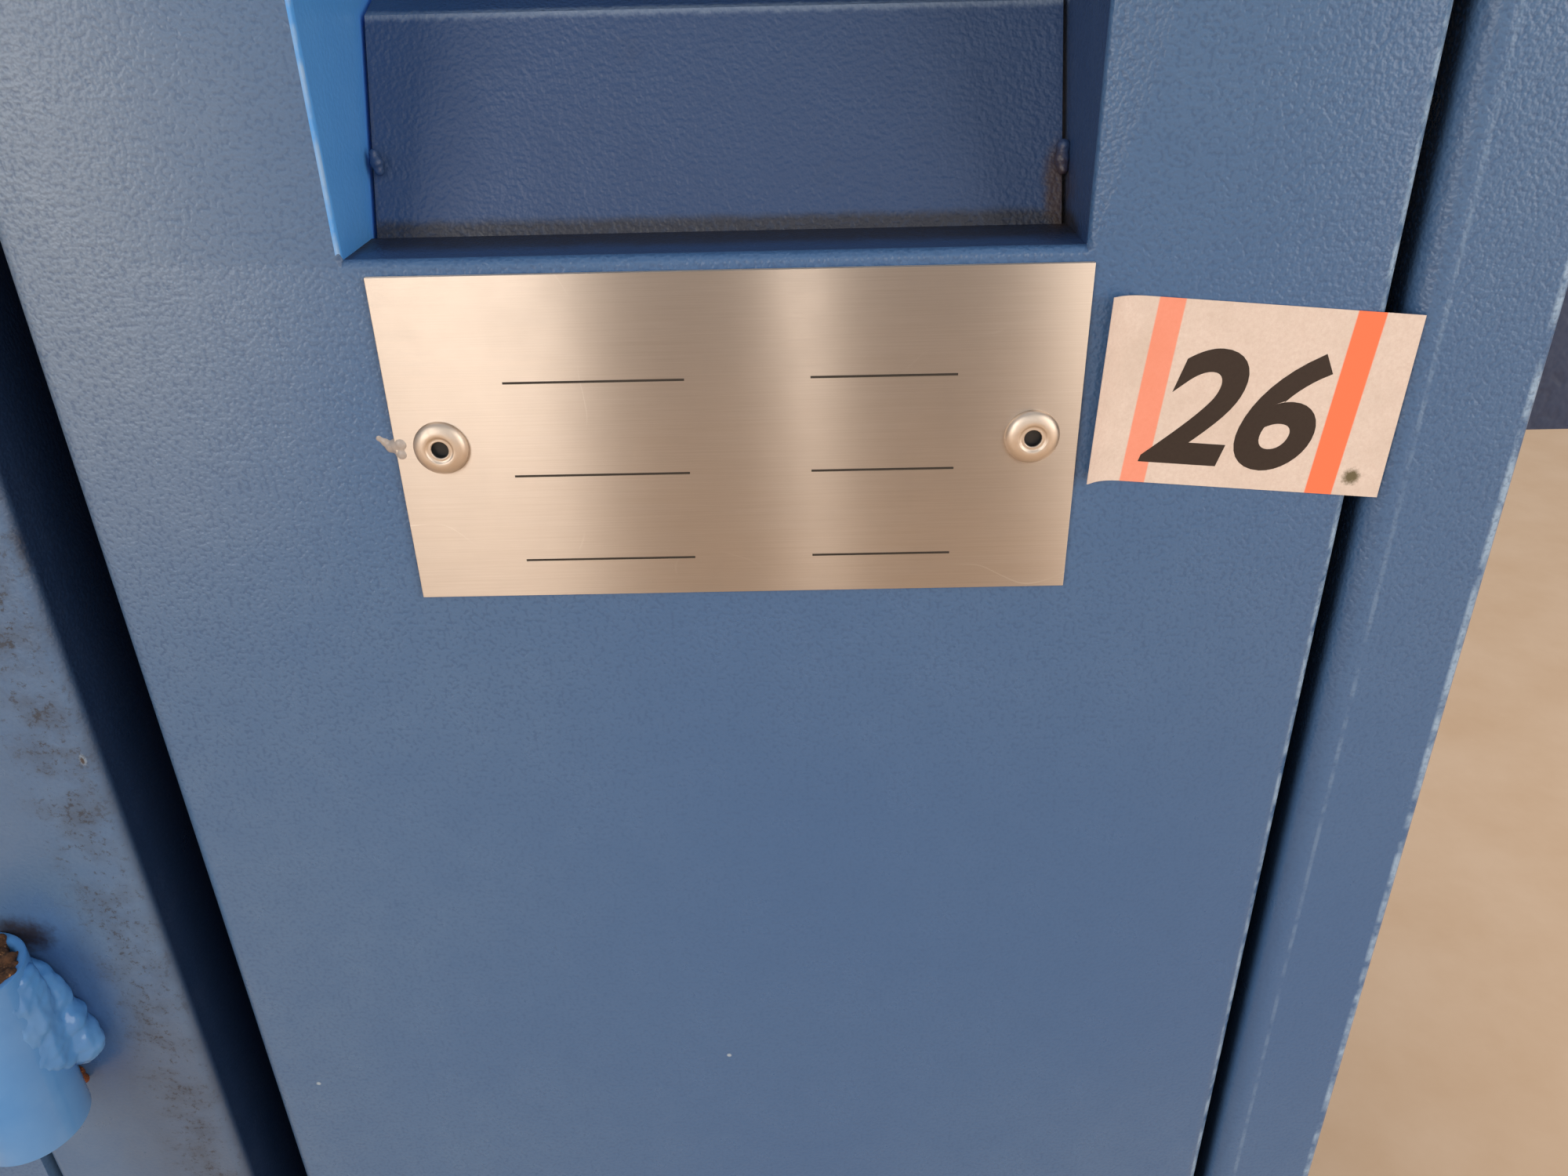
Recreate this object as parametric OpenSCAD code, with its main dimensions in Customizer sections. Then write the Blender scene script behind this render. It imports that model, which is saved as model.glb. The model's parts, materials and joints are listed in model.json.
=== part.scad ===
// Single-cylinder sock knitting machine: sheet-steel base cabinet, knitting head, creel and controls.
// Millimetres. X to the right, Y to the back, Z up from the floor.

/* [Base cabinet] */
// Width of the cabinet
base_w = 620; // [560:1:700]
// Depth of the cabinet
base_d = 560; // [520:1:640]
// Height of the cabinet's top edge above the floor
base_top = 800; // [780:1:860]
// Height of the cabinet's underside above the floor
floor_gap = 40; // [36:1:60]
// Thickness of the folded cover sheets
sheet_t = 1.5; // [1:0.1:2]
// Width of the side sheet's front flange
strip_w = 21; // [18:0.5:28]
// Depth of the return behind that flange
strip_return = 15; // [10:0.5:25]
// Outer radius of the flange's inner bend
bend_r = 3.9; // [3:0.1:6]
// Height of the kick rail at the bottom
kick_h = 78; // [60:1:100]
// Height of the rail under the bed
top_rail_h = 37; // [30:1:50]

/* [Front] */
// Width of the fixed front panel
panel_w = 191.7; // [180:0.1:200]
// Gap between the front panel and the side flange
panel_gap = 2.9; // [1:0.1:5]
// Depth of the folds round the panel and the door
panel_fold = 14; // [8:0.5:20]
// Width of the dark channel left of the panel
channel_w = 11.5; // [6:0.1:14]
// Width of the square tube beside the channel
stile_w = 41; // [34:0.5:50]
// Depth of that tube
stile_d = 40; // [30:0.5:50]
// Wall of that tube
stile_wall = 2; // [1.5:0.1:3]
// Gap between the tube and the service door
door_gap = 1.6; // [1:0.1:4]
// Gap above, below and left of the service door
door_seam = 3; // [2:0.1:5]

/* [Chute] */
// Width of the chute opening
chute_w = 102; // [90:0.5:120]
// Height of the chute opening
chute_h = 150; // [110:1:180]
// Distance of the opening from the panel's left edge
chute_left = 46.6; // [30:0.1:55]
// Height of the opening's floor above the machine's floor
chute_z = 560; // [500:1:570]
// Depth of the opening's flat floor
chute_floor_d = 14.5; // [10:0.5:25]
// Height of the steep plate behind that floor
ledge_rise = 29; // [20:0.5:40]
// How far that plate leans in
ledge_run = 11.5; // [6:0.5:20]
// How far the slide runs back above it
slide_run = 85; // [60:1:95]
// How far the slide rises over that run
slide_rise = 32; // [20:1:34]
// Gap between the back plates and the cheeks
cheek_gap = 0.8; // [0.4:0.1:1.5]

/* [Name plate and label] */
// Width of the name plate
plate_w = 100; // [80:1:110]
// Height of the name plate
plate_h = 50; // [40:1:60]
// Thickness of the name plate
plate_t = 0.8; // [0.5:0.1:1.5]
// Distance of the plate from the panel's left edge
plate_left = 49.6; // [40:0.1:60]
// Distance of the plate's top below the opening's floor
plate_drop = 2; // [1:0.1:6]
// Distance of each rivet from the plate's end
rivet_inset = 6.8; // [6:0.1:10]
// Radius of a rivet's head
rivet_head_r = 4.05; // [3:0.05:5]
// Radius of a rivet's body
rivet_r = 2; // [1.5:0.05:2.4]
// Height of a rivet's head
rivet_head_h = 1.3; // [0.8:0.1:2]
// Radius of the hole in a rivet's head
rivet_hole_r = 1.25; // [0.8:0.05:1.4]
// Width of the number label
label_w = 45.5; // [43.5:0.1:52]
// Height of the number label
label_h = 27.7; // [20:0.1:32]
// Thickness of the number label
label_t = 0.15; // [0.1:0.01:0.3]
// Turn of the label in degrees
label_turn = 5.2; // [0:0.1:8]

/* [Rod socket] */
// Outer radius of the pipe stub on the tube's face
socket_r = 10; // [8:0.1:10]
// Inner radius of the stub
socket_bore_r = 8; // [6:0.1:8]
// Length of the stub
socket_l = 40; // [30:0.5:60]
// Height of the stub's lower end
socket_z = 398.5; // [300:0.5:450]
// Thickness of the stub's closed bottom
socket_floor = 3; // [2:0.5:5]

/* [Feet] */
// Distance of a foot from the cabinet's outer faces
foot_inset = 45; // [40:1:70]
// Radius of a foot's pad
foot_pad_r = 30; // [22:1:36]
// Thickness of a foot's pad
foot_pad_h = 12; // [8:1:16]
// Radius of a foot's stem
foot_stem_r = 8; // [6:0.5:10]
// Height of a lock nut
locknut_h = 8; // [6:0.5:10]

/* [Drive] */
// Thickness of the bed plate
bed_t = 20; // [16:1:26]
// How far the bed plate stands out past the cabinet
bed_over = 8; // [4:1:14]
// Tooth size of the gears: pitch diameter over number of teeth
gear_module = 2; // [1.8:0.05:2.1]
// Teeth on the cylinder gear
gear_teeth = 120; // [112:1:122]
// Teeth on the pinion
pinion_teeth = 24; // [20:1:26]
// Face width of the cylinder gear
gear_face = 16; // [12:1:20]
// Backlash taken off each tooth flank
backlash = 0.12; // [0.08:0.01:0.3]
// Radius of the pinion shaft
shaft_r = 10; // [8:0.5:12]
// Running clearance of shafts in their bearings
running_gap = 0.05; // [0.02:0.01:0.1]
// Radius of the hand wheel
handwheel_r = 42; // [36:1:44]
// Radius of the driven belt pulley
driven_pulley_r = 40; // [34:1:46]
// Radius of the motor's belt pulley
motor_pulley_r = 20; // [16:1:24]
// Width of the drive belt
belt_w = 18; // [14:1:22]
// Thickness of the drive belt
belt_t = 3; // [2:0.5:4]
// Radius of the drive motor's body
motor_r = 52; // [44:1:56]
// Height of the drive motor's body
motor_h = 170; // [140:1:200]

/* [Knitting head] */
// Outer radius of the needle cylinder
cylinder_r = 47.6; // [46:0.1:49]
// Inner radius of the needle cylinder
cylinder_bore_r = 40; // [39:0.1:41]
// Height of the needle cylinder
cylinder_h = 158; // [150:1:170]
// Number of needles
needle_count = 144; // [96:12:144]
// Width of a needle groove
groove_w = 0.95; // [0.9:0.05:1.1]
// Depth of a needle groove
groove_d = 3; // [2.5:0.1:3.5]
// Thickness of a needle
needle_t = 0.6; // [0.5:0.05:0.7]
// How far the needle hooks stand above the cylinder
needle_rise = 11; // [8:0.5:12]
// Outer radius of the cam ring
cam_r = 92; // [84:1:96]
// Height of the cam ring
cam_h = 68; // [60:1:76]
// Gap between the cam ring and the cylinder
cam_gap = 1.4; // [1:0.1:2.5]
// Number of selector units round the cam ring
selector_count = 4; // [2:1:4]
// Radius of the dial
dial_r = 46.5; // [44:0.5:48]
// Thickness of the dial
dial_t = 10; // [8:0.5:14]
// Gap between the needle hooks and the dial
dial_gap = 3; // [2:0.5:6]
// Radius of the dial shaft
dial_shaft_r = 12; // [9:0.5:14]
// Height of the dial head
head_h = 96; // [84:1:110]
// Radius of the dial head's body
head_r = 38; // [32:1:42]
// Radius of the finger plate under the dial head
finger_plate_r = 76; // [68:1:82]
// Width of the dial arm
arm_w = 56; // [44:1:60]
// Distance of the arm's pivot behind the cylinder
arm_pivot_y = 178; // [165:1:190]
// Radius of the arm's pivot pin
arm_pin_r = 9; // [7:0.5:11]
// Radius of the clear guard
guard_r = 152; // [145:1:160]
// Height of the clear guard
guard_h = 140; // [110:1:150]
// Outer radius of the sock tube
duct_r = 36; // [32:0.5:37]
// Wall of the sock tube
duct_wall = 2; // [1.5:0.1:3]

/* [Creel] */
// Radius of the creel post
post_r = 20; // [16:1:24]
// Height of the creel ring above the floor
creel_z = 1700; // [1600:5:1850]
// Radius of the creel ring
creel_r = 250; // [220:5:280]
// Number of yarn pegs
peg_count = 8; // [4:1:10]
// Height of a yarn peg
peg_h = 130; // [100:5:160]
// Radius of a yarn peg
peg_r = 5; // [4:0.5:8]
// Radius of the yarn guide ring
guide_ring_r = 130; // [110:1:150]
// Height of the yarn guide ring above the floor
guide_z = 1420; // [1380:5:1500]

/* [Controls] */
// Width of the electrical box, out from the cabinet's side
box_w = 160; // [140:1:180]
// Depth of the electrical box
box_d = 280; // [240:1:320]
// Height of the electrical box
box_h = 250; // [220:1:270]
// Distance of the box behind the cabinet's front
box_back = 60; // [40:1:80]
// Distance of the box's top below the bed plate
box_drop = 42; // [20:1:70]
// Width of the operator panel
console_w = 250; // [220:1:270]
// Height of the operator panel
console_h = 190; // [160:1:220]
// Depth of the operator panel
console_d = 58; // [50:1:80]
// Height of the operator panel's underside
console_z = 1150; // [1120:5:1200]
// Distance of the panel's post from the cabinet's side
console_out = 42; // [36:1:60]
// Radius of the panel's post
console_post_r = 15; // [12:0.5:18]
// Travel of a push button
button_travel = 3; // [2:0.5:4]

/* [Hidden] */
$fn = 96;

// Front of the cabinet, from right to left
front_y = -base_d / 2;
right_x = base_w / 2;
panel_x1 = right_x - strip_w - panel_gap;
panel_x0 = panel_x1 - panel_w;
stile_x1 = panel_x0 - channel_w;
stile_x0 = stile_x1 - stile_w;
door_x1 = stile_x0 - door_gap;
door_x0 = -right_x + strip_w + door_seam;
kick_z = floor_gap + kick_h;
rail_z = base_top - top_rail_h;
door_z0 = kick_z + door_seam;
door_z1 = rail_z - door_seam;
inner_y = front_y + sheet_t;

// Chute and plate
chute_x0 = panel_x0 + chute_left;
chute_x1 = chute_x0 + chute_w;
chute_top = chute_z + chute_h;
ledge_y = front_y + chute_floor_d;
plate_x0 = panel_x0 + plate_left;
plate_z1 = chute_z - plate_drop;
fit_gap = 0.05;

// Bed, drive and head heights
bed_z = base_top + bed_t;
box_z = base_top - box_drop - box_h;
housing_floor = 8;
clear = 0.3;
gear_z = bed_z + 14;
gear_hub_z = gear_z + gear_face + 12;
shoulder_z = bed_z + housing_floor + 2 + clear;
cover_t = 6;
cover_z = gear_hub_z + 3;
cam_z = cover_z + cover_t;
cylinder_top = gear_hub_z + cylinder_h;
gear_r = gear_module * gear_teeth / 2;
pinion_r = gear_module * pinion_teeth / 2;
pinion_x = gear_r + pinion_r;
gear_hub_r = 62;
gear_foot_r = 56;
gear_bore_r = cylinder_bore_r;
bearing_r = 74;
housing_r = gear_r + 15;
housing_wall = 9;
lobe_r = pinion_r + 18;
pulley_z = base_top - 2 * (belt_w + 3);
motor_x = pinion_x + motor_r - 6;
motor_y = base_d / 2 - 130;
motor_plate_z = pulley_z - belt_w - 4;
motor_shaft_r = 7;
motor_shaft_in = motor_h * 0.34;
motor_plate_t = 8;
handwheel_z = cam_z + 8;
needle_top = cylinder_top + needle_rise;
dial_z = needle_top + dial_gap;
head_z = dial_z + dial_t + 24;
arm_z = head_z + 30;
arm_h = 46;
pivot_z = arm_z + arm_h / 2;
finger_t = 3;

// Duct from the cylinder to the chute
slide_top_y = front_y + chute_floor_d + ledge_run + slide_run;
slide_top_z = chute_z + ledge_rise + slide_rise;
duct_dir = atan2(slide_top_y, (chute_x0 + chute_x1) / 2);
duct_bend_r = 60;
duct_bend = 80;
duct_elbow_z = base_top - 56;
duct_tail = 145;

// Creel and guard
post_y = base_d / 2 - 38;
creel_tube_r = 7;
guard_t = 3;
guard_from = 190;
guard_to = 308;
guard_z = cam_z + 48;
guard_hinge_r = guard_r + 9;

// Fan behind the service door
fan_r = 92;
fan_x = -base_w / 4 - 10;
fan_y = base_d / 4 - 10;
fan_z = floor_gap + fan_r + 28;
fan_w = 84;
fan_wall = 2.5;
spigot_r = 38;
spigot_l = 34;
selector_l = 54;
selector_w = 25;
selector_in = 20;
selector_short = 30.5;
lever_l = 11;
lever_w = 18;
arm_pocket_depth = 12;
arm_pocket_from = 22;
arm_pocket_ends = 60;
panel_foot_drop = 180;
panel_bracket_up = 20;
panel_bracket_gap = 100;
panel_bracket_w = 32;
panel_flange_w = 60;
panel_flange_h = 40;
panel_flange_t = 6;
panel_post_in = 60;

// Console
console_x = -right_x - console_out;
console_y = -150;
console_tilt = 12;
console_face_y = console_y - console_post_r - 10 - console_d;
button_r = 11;

// Door hardware
latch_x = door_x1 - 34;
latch_z = (door_z0 + door_z1) / 2;
latch_r = 9;
latch_out = 16;
hinge_x = -right_x + strip_w + door_seam / 2;
hinge_out = 7;
hinge_y = front_y - hinge_out;
hinge_r = 6;
hinge_pin_r = 3.5;
hinge_l = 60;
hinge_zs = [door_z0 + 90, door_z1 - 90 - hinge_l];

// The frame's origin is the middle of the whole machine's footprint
x_low = console_x - console_w / 2;
x_high = right_x + box_w + 22;
y_low = front_y - max(bed_over, 2 * socket_r, latch_out, hinge_out + hinge_r);
y_high = post_y + creel_r + creel_tube_r;
shift = [-(x_low + x_high) / 2, -(y_low + y_high) / 2, 0];

blue = [0.33, 0.47, 0.60];
dark_blue = [0.16, 0.24, 0.38];
steel = [0.70, 0.70, 0.69];
cast_grey = [0.45, 0.47, 0.48];
black = [0.09, 0.09, 0.10];
brass_tone = [0.72, 0.58, 0.30];

module placed() {
    translate(shift) children();
}

// A rectangle from (x0, y0) to (x1, y1) whose left corners have one radius and right corners another
module rounded(x0, y0, x1, y1, r_left, r_right) {
    mid = (x0 + x1) / 2;
    for (side = [[x0, r_left, 1], [x1, r_right, -1]]) {
        x = side[0];
        r = side[1];
        s = side[2];
        for (y = [y0 + r, y1 - r]) translate([x + s * r, y]) circle(r);
        translate([min(x, x + s * r), y0 + r]) square([r, y1 - y0 - 2 * r]);
        translate([min(x + s * r, mid), y0]) square([abs(mid - x - s * r), y1 - y0]);
    }
}

// A folded tray seen from the front: face sheet and four folds going back
module folded_tray(x0, x1, z0, z1, fold) {
    difference() {
        translate([x0, front_y, z0]) cube([x1 - x0, fold, z1 - z0]);
        translate([x0 + sheet_t, front_y + sheet_t, z0 + sheet_t])
            cube([x1 - x0 - 2 * sheet_t, fold, z1 - z0 - 2 * sheet_t]);
    }
}

// Outline round two circles on the X axis, joined by their outer tangents
module two_circle_outline(r1, r2, d) {
    lean = acos((r1 - r2) / d);
    steps = 24;
    polygon(concat(
        [for (i = [0:steps]) let (a = lean + i * (360 - 2 * lean) / steps) [r1 * cos(a), r1 * sin(a)]],
        [for (i = [0:steps]) let (a = -lean + i * 2 * lean / steps) [d + r2 * cos(a), r2 * sin(a)]]));
}

// A straight tube along Z
module tube(r_out, r_in, h) {
    difference() {
        cylinder(r = r_out, h = h);
        translate([0, 0, -1]) cylinder(r = r_in, h = h + 2);
    }
}

// Side sheets: a web with flanges and returns at the front and the back
module side_sheet() {
    x1 = right_x;
    x0 = right_x - strip_w;
    translate([0, 0, floor_gap]) linear_extrude(base_top - floor_gap) difference() {
        rounded(x0, -base_d / 2, x1, base_d / 2, bend_r, 1);
        rounded(x0 + sheet_t, -base_d / 2 + sheet_t, x1 - sheet_t, base_d / 2 - sheet_t, bend_r - sheet_t, 0.5);
        translate([x0 - 1, -base_d / 2 + strip_return])
            square([sheet_t + 2, base_d - 2 * strip_return]);
    }
}

module right_side_sheet() {
    color(blue) placed() side_sheet();
}

module left_side_sheet() {
    color(blue) placed() mirror([1, 0, 0]) side_sheet();
}

// Bottom pan: floor sheet, kick rail in front and a matching rail at the back
module bottom_pan() {
    x = right_x - strip_w - panel_gap;
    web = right_x - strip_w - 2;
    color(blue) placed() difference() {
        union() {
            translate([-x, front_y, floor_gap]) cube([2 * x, base_d, kick_h]);
            translate([-right_x + sheet_t, front_y + strip_return + 4, floor_gap])
                cube([base_w - 2 * sheet_t, base_d - 2 * strip_return - 8, 24]);
        }
        translate([-x - strip_w, inner_y, floor_gap + 2])
            cube([2 * x + 2 * strip_w, base_d - 2 * sheet_t, kick_h - 2 - sheet_t]);
        translate([-x - 1, front_y + 30, floor_gap + 2]) cube([2 * x + 2, base_d - 60, kick_h]);
        for (x = [-1, 1], y = [-1, 1])
            translate([x * (right_x - foot_inset), y * (base_d / 2 - foot_inset), floor_gap - 1])
                cylinder(r = foot_stem_r + 0.4, h = 4);
        for (i = [-3:3]) translate([i * 60 - 4, -120, floor_gap - 1]) cube([8, 90, 4]);
    }
}

// Top frame: four rails under the bed plate
module top_frame() {
    x = right_x - strip_w - panel_gap;
    color(blue) placed() difference() {
        union() {
            for (y = [front_y, base_d / 2 - 26]) translate([-x, y, rail_z]) cube([2 * x, 26, top_rail_h]);
            for (x0 = [-x, x - 26]) translate([x0, front_y, rail_z]) cube([26, base_d, top_rail_h]);
        }
        for (y = [front_y + 2, base_d / 2 - 24]) translate([-x + 2, y, rail_z - 1])
            cube([2 * x - 4, 22, top_rail_h - 1]);
        for (x0 = [-x + 2, x - 24]) translate([x0, front_y + 2, rail_z - 1])
            cube([22, base_d - 4, top_rail_h - 1]);
    }
}

// Rear panel with rows of cooling slots and the hole for the exhaust
module rear_panel() {
    x = right_x - strip_w - panel_gap;
    y = base_d / 2 - sheet_t;
    slot_l = 90;
    slot_h = 6;
    slot_pitch = 18;
    color(blue) placed() difference() {
        translate([-x, y, kick_z]) cube([2 * x, sheet_t, rail_z - kick_z]);
        for (cx = [-150, 0, 150], i = [0:9]) translate([cx - slot_l / 2, y - 1, 470 + i * slot_pitch]) {
            cube([slot_l, sheet_t + 2, slot_h]);
        }
        translate([fan_x, y - 1, fan_z + fan_r - spigot_r]) rotate([-90, 0, 0])
            cylinder(r = spigot_r + 1, h = sheet_t + 2);
    }
}

// Square tube between the door and the channel
module front_stile() {
    color(blue) placed() translate([0, 0, kick_z]) linear_extrude(rail_z - kick_z) difference() {
        rounded(stile_x0, front_y, stile_x1, front_y + stile_d, 2.5, 2.5);
        rounded(stile_x0 + stile_wall, front_y + stile_wall, stile_x1 - stile_wall,
            front_y + stile_d - stile_wall, 0.6, 0.6);
    }
}

// Fixed front panel with the window of the sock chute
module front_panel() {
    color(blue) placed() difference() {
        folded_tray(panel_x0, panel_x1, kick_z, rail_z, panel_fold);
        translate([chute_x0, front_y - 1, chute_z]) cube([chute_w, panel_fold + 2, chute_h]);
        for (x = [rivet_inset, plate_w - rivet_inset])
            translate([plate_x0 + x, front_y - 1, plate_z1 - plate_h / 2]) rotate([-90, 0, 0])
                cylinder(r = rivet_r + fit_gap, h = sheet_t + 2);
    }
}

// Sock chute: flat floor, steep plate, slide and two cheeks behind the window
module sock_chute() {
    top_z = chute_top + 4;
    bend_y = ledge_y + ledge_run;
    bend_z = chute_z + ledge_rise;
    color(blue) placed() {
        // floor, steep plate and slide as one folded strip
        translate([chute_x0 + cheek_gap, 0, 0]) rotate([90, 0, 90]) linear_extrude(chute_w - 2 * cheek_gap) polygon([
            [inner_y, chute_z - sheet_t], [ledge_y + 1, chute_z - sheet_t], [bend_y + 1.2, bend_z - 1.2],
            [slide_top_y, slide_top_z - sheet_t], [slide_top_y, slide_top_z], [bend_y, bend_z], [ledge_y, chute_z],
            [inner_y, chute_z]]);
        // cheeks, joined to that strip along the floor and by a tack at each upper corner
        for (x = [chute_x0 - sheet_t, chute_x1]) translate([x, 0, 0]) rotate([90, 0, 90]) linear_extrude(sheet_t)
            polygon([[inner_y, chute_z - sheet_t], [ledge_y + 5, chute_z - sheet_t], [bend_y + 6, bend_z - 8],
                [slide_top_y + 4, slide_top_z - 6], [slide_top_y + 4, top_z], [inner_y, top_z]]);
        for (x = [chute_x0 - 0.5, chute_x1 - cheek_gap - 0.5]) {
            translate([x, inner_y, chute_z - sheet_t]) cube([cheek_gap + 1, ledge_y - inner_y, sheet_t]);
            translate([x, slide_top_y - 8, slide_top_z - 4.5]) cube([cheek_gap + 1, 7, 3]);
        }
    }
}

// Pipe stub welded to the tube's face, open at the top
module rod_socket() {
    color(blue) placed() translate([stile_x0 + socket_r + 0.6, front_y - socket_r, socket_z]) difference() {
        union() {
            cylinder(r = socket_r, h = socket_l);
            translate([-3, 0, 4]) cube([6, socket_r, socket_l - 8]);
        }
        translate([0, 0, socket_floor]) cylinder(r = socket_bore_r, h = socket_l);
    }
}

module nameplate() {
    color(steel) placed() difference() {
        translate([plate_x0, front_y - plate_t, plate_z1 - plate_h]) cube([plate_w, plate_t, plate_h]);
        for (x = [rivet_inset, plate_w - rivet_inset])
            translate([plate_x0 + x, front_y - plate_t - 1, plate_z1 - plate_h / 2]) rotate([-90, 0, 0])
                cylinder(r = rivet_r + fit_gap, h = plate_t + 2);
    }
}

module nameplate_rivets() {
    color(steel) placed() for (x = [rivet_inset, plate_w - rivet_inset])
        translate([plate_x0 + x, front_y - plate_t, plate_z1 - plate_h / 2]) rotate([90, 0, 0]) difference() {
            union() {
                cylinder(r1 = rivet_head_r, r2 = rivet_head_r - 0.7, h = rivet_head_h);
                translate([0, 0, -plate_t - sheet_t - 1.2]) cylinder(r = rivet_r, h = plate_t + sheet_t + 1.3);
                translate([0, 0, -plate_t - sheet_t - 1.2]) cylinder(r = rivet_r + 0.9, h = 1.1);
            }
            translate([0, 0, -0.2]) cylinder(r = rivet_hole_r, h = rivet_head_h + 1);
        }
}

// Paper label stuck over the seam between the front panel and the side flange
module number_label() {
    drop = label_w * tan(label_turn);
    color([0.86, 0.74, 0.70]) placed() translate([panel_x1 - 40.5, front_y, plate_z1 - 4.3]) rotate([90, 0, 0])
        linear_extrude(label_t) polygon([[0, 0], [label_w, -drop], [label_w - 1, -drop - label_h], [0.3, -label_h]]);
}

module at_feet() {
    for (x = [-1, 1], y = [-1, 1])
        translate([x * (right_x - foot_inset), y * (base_d / 2 - foot_inset), 0]) children();
}

module levelling_feet() {
    color(black) placed() at_feet() {
        rotate_extrude() polygon([[0, 0], [foot_pad_r, 0], [foot_pad_r, foot_pad_h * 0.4],
            [foot_pad_r * 0.55, foot_pad_h], [foot_stem_r, foot_pad_h], [foot_stem_r, floor_gap + 22],
            [0, floor_gap + 22]]);
    }
}

module foot_locknuts() {
    color(steel) placed() at_feet() translate([0, 0, floor_gap - locknut_h]) difference() {
        cylinder(r = foot_stem_r * 1.7, h = locknut_h, $fn = 6);
        translate([0, 0, -1]) cylinder(r = foot_stem_r + fit_gap, h = locknut_h + 2);
    }
}

// Service door: a folded tray with a hole for its latch
module service_door() {
    color(blue) placed() {
        difference() {
            folded_tray(door_x0, door_x1, door_z0, door_z1, panel_fold);
            translate([latch_x, front_y - 1, latch_z]) rotate([-90, 0, 0]) cylinder(r = latch_r + fit_gap, h = 4);
        }
        for (z = hinge_zs) translate([0, 0, z + hinge_l / 2 + clear]) hinge_knuckle(1);
    }
}

// Barrel hinges: each lower knuckle sits on the side flange and each upper one on the door.
// A knuckle has its leaf to the left of the pin or to the right of it
module hinge_knuckle(to_right) {
    leaf_w = 18;
    leaf_t = 3;
    h = hinge_l / 2 - clear;
    translate([hinge_x, hinge_y, 0]) difference() {
        union() {
            cylinder(r = hinge_r, h = h);
            translate([to_right ? 0 : -leaf_w, front_y - hinge_y - leaf_t, 0]) cube([leaf_w, leaf_t, h]);
        }
        translate([0, 0, -1]) cylinder(r = hinge_pin_r + running_gap, h = hinge_l);
    }
}

module door_hinges() {
    color(steel) placed() for (z = hinge_zs) translate([0, 0, z]) hinge_knuckle(0);
}

module door_hinge_pins() {
    color(steel) placed() for (z = hinge_zs) translate([hinge_x, hinge_y, z - 1]) cylinder(r = hinge_pin_r, h = hinge_l + 2);
}

// Quarter-turn latch, drawn open: round body through the door, finger bar in front and a tongue behind
module door_latch() {
    color(black) placed() translate([latch_x, front_y, latch_z]) rotate([0, -90, 0]) {
        rotate([-90, 0, 0]) translate([0, 0, -1]) cylinder(r = latch_r, h = stile_d + 3);
        rotate([90, 0, 0]) translate([0, 0, clear]) cylinder(r = latch_r + 5, h = 4);
        translate([-3, -latch_out, -12]) cube([6, latch_out - 3, 24]);
        translate([-7, stile_d + 0.6, -8]) cube([latch_r + 46, 3, 16]);
    }
}

// Bed plate: cast and machined, with the passages for the sock tube and the drive shaft
module bed_plate() {
    x = right_x + bed_over;
    y = base_d / 2 + bed_over;
    color(cast_grey) placed() translate([0, 0, base_top]) difference() {
        linear_extrude(bed_t) rounded(-x, -y, x, y, 18, 18);
        translate([0, 0, -1]) cylinder(r = gear_foot_r + 4, h = bed_t + 2);
        translate([pinion_x, 0, -1]) cylinder(r = shaft_r + 10, h = bed_t + 2);
        // notch that lets a rod pass down into its socket on the cabinet's front
        translate([stile_x0 + socket_r + 0.6, front_y - socket_r, -1]) cylinder(r = socket_r, h = bed_t + 2);
        for (sx = [-1, 1], sy = [-1, 1]) translate([sx * (right_x - 11), sy * (base_d / 2 - 40), bed_t - 5])
            cylinder(r = 7, h = 6);
    }
}

// Motor plate hung from the bed on four pillars
module motor_plate() {
    half = motor_r + 14;
    belt_room = 15;
    color(cast_grey) placed() translate([motor_x, motor_y, motor_plate_z]) difference() {
        union() {
            translate([-half - belt_room, -half, 0]) cube([2 * half + belt_room, 2 * half, motor_plate_t]);
            for (x = [9 - half - belt_room, half - 9], y = [9 - half, half - 9]) translate([x, y, 0])
                cylinder(r = 8, h = base_top - motor_plate_z);
        }
        translate([0, 0, -1]) cylinder(r = 22, h = motor_plate_t + 2);
    }
}

// Motor body with cooling fins and a terminal box, its flange under the motor plate
module drive_motor() {
    fin_count = 28;
    color(black) placed() translate([motor_x, motor_y, motor_plate_z - motor_h]) difference() {
        union() {
            translate([0, 0, 10]) cylinder(r = motor_r - 8, h = motor_h - 12);
            for (a = [0:fin_count - 1]) rotate([0, 0, a * 360 / fin_count])
                translate([motor_r - 10, -1.2, 20]) cube([6, 2.4, motor_h - 40]);
            cylinder(r = motor_r - 3, h = 26);
            translate([0, 0, motor_h - 26]) cylinder(r = motor_r, h = 26);
            translate([-motor_r - 12, -26, 70]) cube([24, 52, 56]);
        }
        translate([0, 0, motor_h - motor_shaft_in - 2]) cylinder(r = motor_shaft_r + running_gap, h = motor_shaft_in + 4);
    }
}

module motor_shaft() {
    color(steel) placed() translate([motor_x, motor_y, motor_plate_z - motor_shaft_in])
        cylinder(r = motor_shaft_r, h = pulley_z + belt_w + 6 - motor_plate_z + motor_shaft_in);
}

// A flanged belt pulley along Z with its bore
module pulley(r, bore) {
    difference() {
        union() {
            cylinder(r = r, h = belt_w + 3);
            for (z = [-3, belt_w + 3]) translate([0, 0, z]) cylinder(r = r + belt_t + 2, h = 3);
        }
        translate([0, 0, -4]) cylinder(r = bore, h = belt_w + 12);
    }
}

module motor_pulley() {
    color(steel) placed() translate([motor_x, motor_y, pulley_z]) pulley(motor_pulley_r, motor_shaft_r + 0.01);
}

module driven_pulley() {
    color(steel) placed() translate([pinion_x, 0, pulley_z]) pulley(driven_pulley_r, shaft_r + 0.01);
}

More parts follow.
